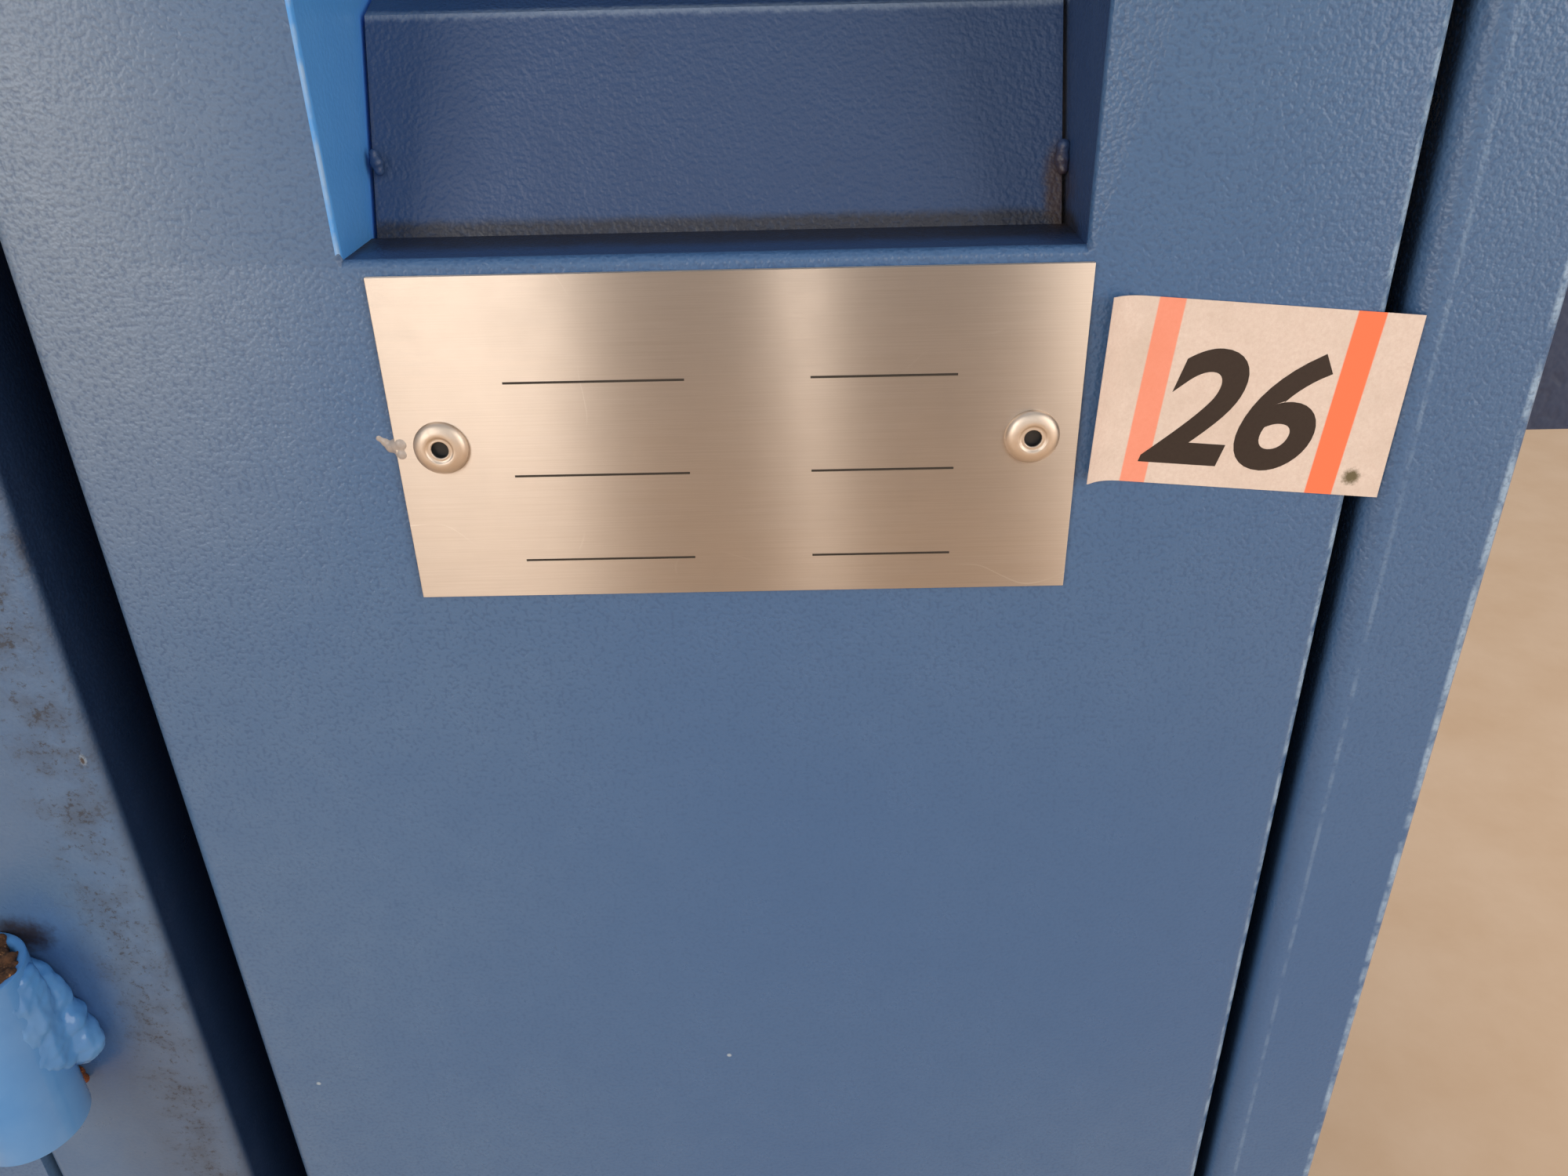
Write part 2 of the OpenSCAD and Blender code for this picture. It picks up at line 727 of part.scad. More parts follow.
// Flat belt round both pulleys: the outline is two arcs and two tangents
function belt_angle() = atan2(motor_y, motor_x - pinion_x);
function belt_centres() = norm([motor_x - pinion_x, motor_y]);

module belt_loop(extra) {
    two_circle_outline(driven_pulley_r + extra, motor_pulley_r + extra, belt_centres());
}

module drive_belt() {
    color(black) placed() translate([pinion_x, 0, pulley_z + 1.5]) rotate([0, 0, belt_angle()])
        linear_extrude(belt_w) difference() {
            belt_loop(clear + belt_t);
            belt_loop(clear);
        }
}

// Involute gear outline: half-tooth angles follow the involute of the base circle at 20 degrees
function inv(r, rb) = let (a = acos(min(1, rb / r))) tan(a) - a * PI / 180;
function tooth_half(r, n) = let (rp = gear_module * n / 2, rb = rp * cos(20))
    90 / n - backlash / rp * 180 / PI + (inv(rp, rb) - inv(max(r, rb), rb)) * 180 / PI;

module gear_outline(n, turn) {
    rp = gear_module * n / 2;
    tip = rp + gear_module * 0.95;
    root = rp - gear_module * 1.2;
    radii = [root, max(root + 0.4, rp - gear_module * 0.75), rp, rp + gear_module * 0.5, tip];
    polygon([for (i = [0:n - 1]) let (c = turn + i * 360 / n)
        each concat([for (r = radii) let (a = c - tooth_half(r, n)) [r * cos(a), r * sin(a)]],
            [for (k = [4:-1:0]) let (a = c + tooth_half(radii[k], n)) [radii[k] * cos(a), radii[k] * sin(a)]])]);
}

// Pinion cut on its shaft
module pinion_shaft() {
    color(steel) placed() translate([pinion_x, 0, 0]) {
        translate([0, 0, pulley_z - 6]) cylinder(r = shaft_r, h = handwheel_z + 24 - pulley_z + 6);
        translate([0, 0, gear_z - 2]) linear_extrude(gear_face + 4) gear_outline(pinion_teeth, 180 / pinion_teeth + 180);
    }
}

module pinion_bearings() {
    color(steel) placed() translate([pinion_x, 0, 0]) {
        translate([0, 0, bed_z - 16]) tube(shaft_r + 9.9, shaft_r + running_gap, gear_z - 2 - clear - bed_z + 16);
        translate([0, 0, cover_z - 10]) tube(shaft_r + 9.9, shaft_r + running_gap, 10 + cover_t);
    }
}

// Hand wheel with five round windows and a knurled rim
module handwheel() {
    flutes = 30;
    color(black) placed() translate([pinion_x, 0, handwheel_z]) difference() {
        union() {
            linear_extrude(20) polygon([for (i = [0:flutes * 2 - 1])
                let (r = handwheel_r - (i % 2) * 1.4, a = i * 180 / flutes) [r * cos(a), r * sin(a)]]);
            translate([0, 0, -6]) cylinder(r = shaft_r + 8, h = 30);
        }
        translate([0, 0, 8]) tube(handwheel_r - 6, shaft_r + 8.5, 14);
        for (i = [0:4]) rotate([0, 0, i * 72]) translate([handwheel_r * 0.65, 0, -1]) cylinder(r = 6, h = 12);
        translate([0, 0, -7]) cylinder(r = shaft_r + 0.01, h = 32);
    }
}

// Outline of the gear housing: a circle for the gear and a lobe for the pinion
module housing_outline(inset) {
    two_circle_outline(housing_r - inset, lobe_r - inset, pinion_x);
}

module gear_housing() {
    color(cast_grey) placed() translate([0, 0, bed_z]) difference() {
        linear_extrude(cover_z - bed_z) housing_outline(0);
        translate([0, 0, housing_floor]) linear_extrude(cover_z - bed_z) housing_outline(housing_wall);
        translate([0, 0, -1]) cylinder(r = bearing_r + fit_gap, h = housing_floor + 2);
        translate([pinion_x, 0, -1]) cylinder(r = shaft_r + 10, h = housing_floor + 2);
    }
}

module gear_cover() {
    color(cast_grey) placed() translate([0, 0, cover_z]) difference() {
        linear_extrude(cover_t) housing_outline(0);
        translate([0, 0, -1]) cylinder(r = cylinder_r + cam_gap, h = cover_t + 2);
        translate([pinion_x, 0, -1]) cylinder(r = shaft_r + 10, h = cover_t + 2);
    }
}

// Cylinder gear: rim and web, a foot that runs in the bearing and a hub that carries the cylinder
module cylinder_gear() {
    color(steel) placed() translate([0, 0, gear_z]) difference() {
        union() {
            linear_extrude(gear_face) gear_outline(gear_teeth, 0);
            cylinder(r = gear_hub_r, h = gear_hub_z - gear_z);
            translate([0, 0, shoulder_z - gear_z]) cylinder(r = gear_hub_r + 2, h = gear_z - shoulder_z + 1);
            translate([0, 0, bed_z + 1 - gear_z]) cylinder(r = gear_foot_r, h = gear_z - bed_z);
        }
        translate([0, 0, -40]) cylinder(r = gear_bore_r, h = 90);
        for (z = [-1, gear_face - 4]) translate([0, 0, z]) tube(gear_r - 8, gear_hub_r + 6, 5);
        for (i = [0:7]) rotate([0, 0, i * 45 + 22.5]) translate([(gear_r + gear_hub_r) / 2, 0, -1])
            cylinder(r = 13, h = gear_face + 2);
    }
}

module cylinder_bearing() {
    color(steel) placed() translate([0, 0, bed_z]) tube(bearing_r, gear_foot_r + running_gap, housing_floor + 2);
}

// Ring outline with narrow slots round its outside
module slotted_outline(r, depth, width, count) {
    half = asin(width / 2 / r);
    inner = r - depth;
    inner_half = asin(width / 2 / inner);
    polygon([for (i = [0:count - 1]) let (c = i * 360 / count, n = (i + 0.5) * 360 / count)
        each [[inner * cos(c - inner_half), inner * sin(c - inner_half)],
            [inner * cos(c + inner_half), inner * sin(c + inner_half)],
            [r * cos(c + half), r * sin(c + half)], [r * cos(n), r * sin(n)],
            [r * cos(c + 360 / count - half), r * sin(c + 360 / count - half)]]]);
}

module needle_cylinder() {
    color(steel) placed() translate([0, 0, gear_hub_z]) difference() {
        linear_extrude(cylinder_h) slotted_outline(cylinder_r, groove_d, groove_w, needle_count);
        translate([0, 0, -1]) cylinder(r = cylinder_bore_r, h = cylinder_h + 2);
    }
}

// One latch needle, seen from the side: stem in its groove, neck, hook and open latch
module needle() {
    r = cylinder_r - groove_d + clear;
    z = cylinder_top - 60;
    top = needle_top;
    translate([0, needle_t / 2, 0]) rotate([90, 0, 0]) linear_extrude(needle_t) polygon([
        [r, z], [r + 1.8, z], [r + 1.8, top - 1.2], [r + 2.6, top - 0.6], [r + 3, top - 2.4], [r + 3.5, top - 2.2],
        [r + 3.1, top - 0.2], [r + 1.9, top], [r + 0.9, top - 1], [r, top - 7]]);
}

module needles() {
    color(steel) placed() for (i = [0:needle_count - 1]) rotate([0, 0, i * 360 / needle_count]) needle();
}

// Sinker bed round the cylinder's top, with a slot between each two needles
module sinker_bed() {
    color(steel) placed() translate([0, 0, cylinder_top - 14]) difference() {
        linear_extrude(12) slotted_outline(cylinder_r + 14, 9, 0.9, needle_count / 2);
        translate([0, 0, -1]) cylinder(r = cylinder_r + fit_gap, h = 14);
    }
}

// Sinker cap: a ring on three posts, with a throat for the needles
module sinker_cap() {
    color(steel) placed() {
        translate([0, 0, cylinder_top + 1]) difference() {
            cylinder(r = cam_r - 6, h = 6);
            translate([0, 0, -1]) cylinder(r = cylinder_r + 3, h = 8);
            for (a = [30, 150, 270]) rotate([0, 0, a]) translate([cylinder_r + 20, -12, -1]) cube([30, 24, 8]);
        }
        for (a = [90, 210, 330]) rotate([0, 0, a]) translate([cam_r - 14, 0, cam_z + cam_h])
            cylinder(r = 6, h = cylinder_top + 3 - cam_z - cam_h);
    }
}

// Cam ring with a window at each selector unit
module cam_ring() {
    color(cast_grey) placed() translate([0, 0, cam_z]) difference() {
        union() {
            cylinder(r = cam_r - 3, h = cam_h);
            cylinder(r = cam_r, h = 10);
            translate([0, 0, cam_h - 8]) cylinder(r = cam_r, h = 8);
        }
        translate([0, 0, -1]) cylinder(r = cylinder_r + cam_gap, h = cam_h + 2);
        for (i = [0:selector_count - 1]) rotate([0, 0, selector_angle(i)]) translate([cylinder_r, -13, 16])
            cube([cam_r, 26, cam_h - 30]);
    }
}

function selector_angle(i) = 60 + i * 80;

// Selector unit: a block of small levers that stands in a window of the cam ring
module selector_units() {
    levers = 6;
    color(black) placed() for (i = [0:selector_count - 1]) rotate([0, 0, selector_angle(i)])
        translate([0, 0, cam_z + 16]) {
            translate([cam_r - selector_in, -selector_w / 2, 0.2])
                cube([selector_l, selector_w, cam_h - selector_short]);
            for (k = [0:levers - 1]) translate([cam_r - selector_in - 10, -lever_w / 2, 3 + k * 5.4])
                cube([lever_l, lever_w, 2]);
        }
}

// Stepper that sets the stitch size, on its own lug of the cam ring
module stitch_motor() {
    a = 20;
    color(black) placed() rotate([0, 0, a]) translate([cam_r + 1, 0, cam_z]) {
        translate([-12, -14, cam_h]) cube([38, 28, 4]);
        translate([-12, -14, cam_h + 4]) cube([34, 28, 30]);
        translate([5, 0, cam_h + 33]) cylinder(r = 9, h = 5);
        translate([4, -8, 30]) cube([9, 16, cam_h - 29]);
    }
}

// Sock tube: straight through the cylinder, an elbow and a tail above the chute
module sock_duct() {
    inner = duct_r - duct_wall;
    color(steel) placed() {
        translate([0, 0, duct_elbow_z + collar_h / 2]) tube(duct_r, inner, cylinder_top - 26 - duct_elbow_z - collar_h / 2);
        translate([0, 0, base_top - 6]) tube(duct_r + 34, duct_r - 0.5, 6);
        translate([0, 0, duct_elbow_z - 2]) duct_collar();
        rotate([0, 0, duct_dir]) translate([duct_bend_r, 0, duct_elbow_z]) rotate([90, 0, 0]) {
            rotate([0, 0, 180]) rotate_extrude(angle = duct_bend) translate([duct_bend_r, 0]) difference() {
                circle(duct_r);
                circle(inner);
            }
            rotate([0, 0, 180 + duct_bend]) translate([duct_bend_r, 0, 0]) rotate([-90, 0, 0]) {
                translate([0, 0, -2]) duct_collar();
                translate([0, 0, collar_h / 2]) tube(duct_r, inner, duct_tail - collar_h / 2);
            }
        }
    }
}

// Clamp ring at a joint of the sock tube
collar_h = 10;

module duct_collar() {
    tube(duct_r + 5, duct_r - duct_wall - 0.5, collar_h);
}

// Dial with slots over the needles
module dial() {
    color(steel) placed() translate([0, 0, dial_z]) difference() {
        union() {
            linear_extrude(dial_t) slotted_outline(dial_r, 4, 0.9, needle_count / 2);
            translate([0, 0, dial_t]) cylinder(r = dial_shaft_r + 10, h = 8);
        }
        translate([0, 0, -1]) cylinder(r = dial_shaft_r + 0.01, h = dial_t + 12);
        translate([0, 0, -1]) cylinder(r = dial_r - 12, h = 4);
    }
}

module dial_shaft() {
    color(steel) placed() translate([0, 0, dial_z + 1]) {
        cylinder(r = dial_shaft_r, h = head_z + head_h + 8 - dial_z);
        translate([0, 0, head_z + head_h + clear - dial_z - 1]) cylinder(r = dial_shaft_r + 8, h = 7);
    }
}

// Dial head: body round the dial shaft on a plate that carries the yarn fingers
module dial_head() {
    color(cast_grey) placed() translate([0, 0, head_z]) difference() {
        union() {
            cylinder(r = finger_plate_r, h = 10);
            cylinder(r = head_r + 6, h = 22);
            cylinder(r = head_r, h = head_h);
        }
        translate([0, 0, -1]) cylinder(r = dial_shaft_r + running_gap, h = head_h + 2);
        for (a = [20, 65, 110, 155]) rotate([0, 0, a]) translate([head_r + 20, 0, -1]) cylinder(r = 8, h = 12);
    }
}

// Dial arm: from the head back to the pivot in the post's fork
module dial_arm() {
    y0 = head_r + 0.05;
    y1 = arm_pivot_y;
    eye_r = arm_h / 2;
    color(cast_grey) placed() translate([0, 0, arm_z]) difference() {
        union() {
            translate([-arm_w / 2, 0, 0]) cube([arm_w, y1, arm_h]);
            translate([-arm_w / 2, y1, eye_r]) rotate([0, 90, 0]) cylinder(r = eye_r, h = arm_w);
        }
        translate([0, 0, -1]) cylinder(r = y0, h = arm_h + 2);
        translate([-arm_w, -arm_w, -1]) cube([2 * arm_w, arm_w + 20, arm_h + 2]);
        translate([-arm_w / 2 - 1, y1, eye_r]) rotate([0, 90, 0]) cylinder(r = arm_pin_r + running_gap, h = arm_w + 2);
        for (s = [-1, 1]) translate([s * arm_w / 2 - arm_pocket_depth / 2, head_r + arm_pocket_from, arm_pocket_depth])
            cube([arm_pocket_depth, y1 - head_r - arm_pocket_ends, arm_h - 2 * arm_pocket_depth]);
    }
}

// Post on the bed with the fork that holds the arm's pin
module arm_post() {
    ear = 12;
    half = arm_w / 2 + 0.4;
    foot_d = arm_w - 6;
    foot_y = arm_pivot_y - foot_d + 18;
    color(cast_grey) placed() difference() {
        union() {
            translate([-half - ear - 14, foot_y - 8, bed_z]) cube([2 * (half + ear + 14), foot_d + 12, 16]);
            translate([-half - ear, foot_y, bed_z]) cube([2 * (half + ear), foot_d, arm_z - bed_z - 8]);
            for (x = [-half - ear, half]) {
                translate([x, arm_pivot_y - 20, arm_z - 30]) cube([ear, 38, pivot_z - arm_z + 30]);
                translate([x, arm_pivot_y, pivot_z]) rotate([0, 90, 0]) cylinder(r = 20, h = ear);
            }
        }
        translate([-half - ear - 1, arm_pivot_y, pivot_z]) rotate([0, 90, 0])
            cylinder(r = arm_pin_r + running_gap, h = 2 * (half + ear) + 2);
        translate([-half + 6, foot_y - 1, bed_z + 36]) cube([2 * half - 12, foot_d + 2, arm_z - bed_z - 90]);
    }
}

module arm_pin() {
    half = arm_w / 2 + 12.4 + clear;
    color(steel) placed() translate([-half - 3, arm_pivot_y, pivot_z]) rotate([0, 90, 0]) {
        cylinder(r = arm_pin_r, h = 2 * half + 6);
        for (z = [0, 2 * half + 3]) translate([0, 0, z]) cylinder(r = arm_pin_r + 4, h = 3);
    }
}

// Yarn fingers: bent levers that hang from the finger plate to the needle circle
finger_angles = [195, 220, 245, 270, 295];

module yarn_fingers() {
    color(steel) placed() for (a = finger_angles) rotate([0, 0, a]) translate([0, finger_t / 2, 0]) rotate([90, 0, 0])
        linear_extrude(finger_t) polygon([
            [finger_plate_r - 20, head_z], [finger_plate_r - 20, head_z - 9], [cylinder_r + 5, dial_z + 2],
            [cylinder_r + 4, needle_top - 2.5], [cylinder_r + 7, needle_top - 2.5], [cylinder_r + 10, dial_z + 1],
            [finger_plate_r - 4, head_z - 12], [finger_plate_r - 4, head_z]]);
}

// Clear guard: a curved sheet with a hinge tube along its left edge
module head_guard() {
    color([0.75, 0.82, 0.86, 0.4]) placed() translate([0, 0, guard_z]) {
        rotate_extrude(angle = guard_to - guard_from, start = guard_from)
            translate([guard_r - guard_t, 0]) square([guard_t, guard_h]);
        rotate([0, 0, guard_from]) translate([guard_hinge_r, 0, 0]) difference() {
            union() {
                cylinder(r = 8.5, h = guard_h);
                translate([guard_r - guard_t / 2 - guard_hinge_r, -1.5, 0]) cube([10, 5.5, guard_h]);
            }
            translate([0, 0, -1]) cylinder(r = 6 + running_gap, h = guard_h + 2);
        }
    }
}

module guard_post() {
    color(steel) placed() rotate([0, 0, guard_from]) translate([guard_hinge_r, 0, bed_z]) {
        cylinder(r = 16, h = 8);
        cylinder(r = 9, h = guard_z - bed_z - clear);
        cylinder(r = 6, h = guard_z + guard_h + 8 - bed_z);
    }
}

// Suction fan: drum, feet and outlet
module fan_housing() {
    outlet_z = fan_r - spigot_r;
    color(black) placed() translate([fan_x, fan_y, fan_z]) difference() {
        union() {
            translate([-fan_w / 2, 0, 0]) rotate([0, 90, 0]) cylinder(r = fan_r, h = fan_w);
            translate([0, 0, outlet_z]) rotate([-90, 0, 0])
                cylinder(r = spigot_r - 1, h = base_d / 2 + spigot_l + 1 - fan_y);
            // the spigot proper, behind the rear panel, takes the hose
            translate([0, base_d / 2 + 2 - fan_y, outlet_z]) rotate([-90, 0, 0])
                cylinder(r = spigot_r, h = spigot_l);
            translate([fan_w / 2 - 1, 0, 0]) rotate([0, 90, 0]) cylinder(r = 44, h = 70);
            for (x = [-fan_w / 2 + 4, fan_w / 2 - 16]) translate([x, -56, floor_gap + 2 - fan_z])
                cube([12, 112, fan_z - floor_gap - 30]);
        }
        translate([-fan_w / 2 + fan_wall, 0, 0]) rotate([0, 90, 0])
            cylinder(r = fan_r - fan_wall, h = fan_w - 2 * fan_wall);
        translate([0, 0, outlet_z]) rotate([-90, 0, 0]) cylinder(r = spigot_r - fan_wall, h = base_d);
        translate([-fan_w / 2 - 1, 0, 0]) rotate([0, 90, 0]) cylinder(r = 46, h = 10);
        translate([fan_w / 2 - 8, 0, 0]) rotate([0, 90, 0]) cylinder(r = 6 + running_gap, h = 50);
    }
}

// Fan wheel: back plate, hub with its shaft and blades that lean back
module fan_impeller() {
    blades = 14;
    wheel_r = 50;
    wheel_w = fan_w - 24;
    color(steel) placed() translate([fan_x - wheel_w / 2, fan_y, fan_z]) rotate([0, 90, 0]) {
        difference() {
            union() {
                translate([0, 0, wheel_w - 3]) cylinder(r = wheel_r, h = 3);
                for (i = [0:blades - 1]) rotate([0, 0, i * 360 / blades]) translate([32, 0, 2]) rotate([0, 0, 35])
                    translate([0, -1, 0]) cube([20, 2, wheel_w - 3]);
                translate([0, 0, wheel_w - 22]) cylinder(r = 14, h = 20);
                translate([0, 0, wheel_w - 1]) cylinder(r = 6, h = 46);
            }
            translate([0, 0, -1]) tube(wheel_r + 20, wheel_r, wheel_w + 2);
        }
    }
}

// Electrical box on the right side of the cabinet, open to its door
module control_box() {
    x0 = right_x;
    y0 = front_y + box_back;
    color(dark_blue) placed() {
        difference() {
            translate([x0, y0, box_z]) cube([box_w, box_d, box_h]);
            translate([x0 + 2, y0 + 2, box_z + 2]) cube([box_w, box_d - 4, box_h - 4]);
            for (i = [0:5]) translate([x0 + 30 + i * 18, y0 + box_d - 3, box_z + 40]) cube([6, 6, 90]);
        }
        for (z = box_hinge_zs) translate([box_hinge_x, box_hinge_y, z]) {
            cylinder(r = box_knuckle_r, h = box_knuckle_h);
            cylinder(r = box_pin_r, h = 2 * box_knuckle_h + clear);
            translate([-9, -4, 0]) cube([9, 8, box_knuckle_h]);
        }
    }
}

// Its door: a shallow tray that hangs on two lift-off hinges at the back edge
box_door_t = 14;
box_hinge_y = front_y + box_back + box_d - 4;
box_hinge_x = right_x + box_w + 8;
box_hinge_zs = [box_z + 36, box_z + box_h - 76];
box_knuckle_r = 5;
box_knuckle_h = 20;
box_pin_r = 2.5;
knob_y = front_y + box_back + 70;
knob_z = box_z + box_h * 0.6;

module control_box_door() {
    x0 = right_x + box_w;
    y0 = front_y + box_back;
    y1 = box_hinge_y - 10;
    color(dark_blue) placed() difference() {
        union() {
            translate([x0 + clear, y0, box_z]) cube([box_door_t, y1 - y0, box_h]);
            for (z = box_hinge_zs) translate([box_hinge_x, box_hinge_y, z + box_knuckle_h + clear]) {
                cylinder(r = box_knuckle_r, h = box_knuckle_h);
                translate([-3, y1 - box_hinge_y - 0.5, 0]) cube([5, box_hinge_y - y1, box_knuckle_h]);
            }
        }
        translate([x0 - 1, y0 + 2, box_z + 2]) cube([box_door_t - 1, y1 - y0 - 4, box_h - 4]);
        translate([x0, knob_y, knob_z]) rotate([0, 90, 0]) cylinder(r = 6 + running_gap, h = 30);
        for (z = box_hinge_zs) translate([box_hinge_x, box_hinge_y, z]) cylinder(r = box_pin_r + running_gap, h = 60);
    }
}

module isolator_knob() {
    x0 = right_x + box_w + box_door_t;
    color([0.75, 0.10, 0.08]) placed() translate([x0, knob_y, knob_z]) {
        translate([-10, 0, 0]) rotate([0, 90, 0]) cylinder(r = 6, h = 12);
        translate([0.6, 0, 0]) rotate([0, 90, 0]) cylinder(r = 20, h = 3);
        translate([3, -5, -18]) cube([5, 10, 36]);
    }
}

// Operator panel: sloped case on a swivelling collar
module operator_panel() {
    hx = console_w / 2;
    color([0.80, 0.81, 0.80]) placed() translate([console_x, console_y, 0]) difference() {
        union() {
            translate([-hx, 0, console_z]) rotate([90, 0, 90]) linear_extrude(console_w) polygon([
                [-26, 0], [-26, console_h], [-26 - console_d * 0.6, console_h], [-26 - console_d, 6], [-26 - console_d + 6, 0]]);
            translate([0, 0, console_z + 20]) cylinder(r = console_post_r + 8, h = console_h - 60);
            translate([-16, -30, console_z + 20]) cube([32, 30, console_h - 60]);
        }
        translate([0, 0, console_z]) cylinder(r = console_post_r + running_gap, h = console_h);
        for (b = [start_at, stop_at]) console_place(b) translate([0, 0, -12]) cylinder(r = button_r - 4 + clear, h = 20);
    }
}

// Buttons sit square to the panel's sloping face, at a distance along it from its lower edge
face_lean = atan2(console_d * 0.4, console_h - 6);
start_at = [console_w / 2 - 58, 34];
stop_at = [console_w / 2 - 27, 34];

module console_place(b) {
    translate([b[0], -26 - console_d, console_z + 6]) rotate([90 - face_lean, 0, 0]) translate([0, b[1], 0]) children();
}

module start_button() {
    color([0.10, 0.50, 0.20]) placed() translate([console_x, console_y, 0]) console_place(start_at) {
        translate([0, 0, -8]) cylinder(r = button_r - 4, h = 9 + button_travel);
        translate([0, 0, button_travel + clear]) cylinder(r = button_r, h = 4);
    }
}

module emergency_stop() {
    color([0.75, 0.10, 0.08]) placed() translate([console_x, console_y, 0]) console_place(stop_at) {
        translate([0, 0, -8]) cylinder(r = button_r - 4, h = 9 + button_travel);
        translate([0, 0, button_travel + clear]) cylinder(r = button_r + 3, h = 4);
        translate([0, 0, button_travel + clear + 4]) cylinder(r1 = button_r + 3, r2 = button_r - 1, h = 4);
    }
}

// Post of the operator panel, on a bracket at the cabinet's left side
module panel_post() {
    foot_z = base_top - panel_foot_drop;
    color(steel) placed() {
        for (i = [0, 1]) {
            z = foot_z + panel_bracket_up + i * panel_bracket_gap;
            translate([-right_x - console_out, console_y - panel_bracket_w / 2, z])
                cube([console_out, panel_bracket_w, 14]);
            translate([-right_x - panel_flange_t, console_y - panel_flange_w / 2, z - 13])
                cube([panel_flange_t, panel_flange_w, panel_flange_h]);
        }
        translate([console_x, console_y, foot_z]) cylinder(r = console_post_r, h = console_z + 20 - foot_z - clear);
        translate([console_x, console_y, console_z + 18 - clear]) cylinder(r = console_post_r, h = console_h - panel_post_in);
        translate([console_x, console_y, console_z + 12 - clear]) cylinder(r = console_post_r + 6, h = 8);
    }
}

// Creel post on a flange at the back of the bed, with the yarn guide ring on its arm
module creel_post() {
    color(steel) placed() {
        translate([0, post_y, bed_z]) cylinder(r = post_r + 12, h = 10);
        translate([0, post_y, bed_z]) cylinder(r = post_r, h = creel_z + 30 - bed_z);
        translate([-6, guide_ring_r - 6, guide_z - 6]) cube([12, post_y - guide_ring_r, 12]);
        translate([0, 0, guide_z]) rotate_extrude() translate([guide_ring_r, 0]) circle(6, $fn = 24);
        for (i = [0:peg_count - 1]) rotate([0, 0, i * 360 / peg_count + 22.5]) translate([guide_ring_r - 4, 0, guide_z - 3])
            rotate([0, 0, 0]) difference() {
                translate([-9, 0, 0]) cylinder(r = 8, h = 6);
                translate([-9, 0, -1]) cylinder(r = 4, h = 8);
            }
    }
}

// Creel ring with its spokes, hub and yarn pegs
module creel_ring() {
    color(steel) placed() translate([0, post_y, creel_z]) {
        difference() {
            union() {
                rotate_extrude() translate([creel_r, 0]) circle(creel_tube_r, $fn = 24);
                cylinder(r = post_r + 9, h = 26, center = true);
                for (a = [0, 90, 180, 270]) rotate([0, 0, a]) translate([post_r + 4, 0, 0]) rotate([0, 90, 0])
                    cylinder(r = 6, h = creel_r - post_r - 4);
                for (i = [0:peg_count - 1]) rotate([0, 0, i * 360 / peg_count + 22.5]) translate([creel_r, 0, 0]) {
                    cylinder(r = peg_r, h = peg_h);
                    translate([0, 0, creel_tube_r - 2]) cylinder(r = 22, h = 5);
                }
            }
            cylinder(r = post_r + fit_gap, h = 40, center = true);
        }
    }
}

left_side_sheet();
right_side_sheet();
bottom_pan();
top_frame();
rear_panel();
front_stile();
front_panel();
sock_chute();
rod_socket();
nameplate();
nameplate_rivets();
number_label();
levelling_feet();
foot_locknuts();
service_door();
door_hinges();
door_hinge_pins();
door_latch();
bed_plate();
motor_plate();
drive_motor();
motor_shaft();
motor_pulley();
drive_belt();
driven_pulley();
pinion_shaft();
pinion_bearings();
handwheel();
gear_housing();
gear_cover();
cylinder_gear();
cylinder_bearing();
needle_cylinder();
needles();
sinker_bed();
sinker_cap();
cam_ring();
selector_units();
stitch_motor();
sock_duct();
dial();
dial_shaft();
dial_head();
dial_arm();
arm_post();
arm_pin();
yarn_fingers();
head_guard();
guard_post();
fan_housing();
fan_impeller();
control_box();
control_box_door();
isolator_knob();
operator_panel();
panel_post();
start_button();
emergency_stop();
creel_post();
creel_ring();
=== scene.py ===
import json
import math
import random
from functools import partial

import bpy
from mathutils import Matrix, Vector


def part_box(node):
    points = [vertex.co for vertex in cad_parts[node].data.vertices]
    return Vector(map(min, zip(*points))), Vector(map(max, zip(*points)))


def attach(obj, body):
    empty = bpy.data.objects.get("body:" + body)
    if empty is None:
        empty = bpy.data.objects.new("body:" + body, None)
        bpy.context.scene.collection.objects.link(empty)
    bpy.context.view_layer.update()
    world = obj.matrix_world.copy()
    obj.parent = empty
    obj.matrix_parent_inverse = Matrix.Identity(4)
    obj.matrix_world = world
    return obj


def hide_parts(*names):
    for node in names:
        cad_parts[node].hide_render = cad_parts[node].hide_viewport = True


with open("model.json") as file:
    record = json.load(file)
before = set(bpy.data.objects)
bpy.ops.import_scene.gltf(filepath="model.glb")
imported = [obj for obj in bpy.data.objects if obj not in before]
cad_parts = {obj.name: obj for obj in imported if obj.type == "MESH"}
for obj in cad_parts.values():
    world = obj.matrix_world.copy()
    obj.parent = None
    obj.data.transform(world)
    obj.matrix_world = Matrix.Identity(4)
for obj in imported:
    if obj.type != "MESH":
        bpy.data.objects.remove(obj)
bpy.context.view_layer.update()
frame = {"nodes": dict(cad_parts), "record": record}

mm = 0.001
perMetre = 1000  # a noise's Scale is this over the size in millimetres of what it draws
tiny = 0.01 * mm
machineBodies = frame["record"]["behaviour"]["bodies"]
bodyOf = {node: body for body, nodes in machineBodies.items() for node in nodes}
slotOf = {part["node"]: part["material_slot"] for part in frame["record"]["subparts"]}
plateLow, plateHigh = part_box("nameplate")
# the turn that lays an upright shape along each axis
layAlong = {"X": (0, math.pi / 2, 0), "Y": (math.pi / 2, 0, 0), "Z": (0, 0, 0)}


def fromPlate(x, y, z):
    # millimetres right of, behind and above the plate's top left corner on the panel
    return Vector((plateLow.x + x * mm, plateHigh.y + y * mm, plateHigh.z + z * mm))


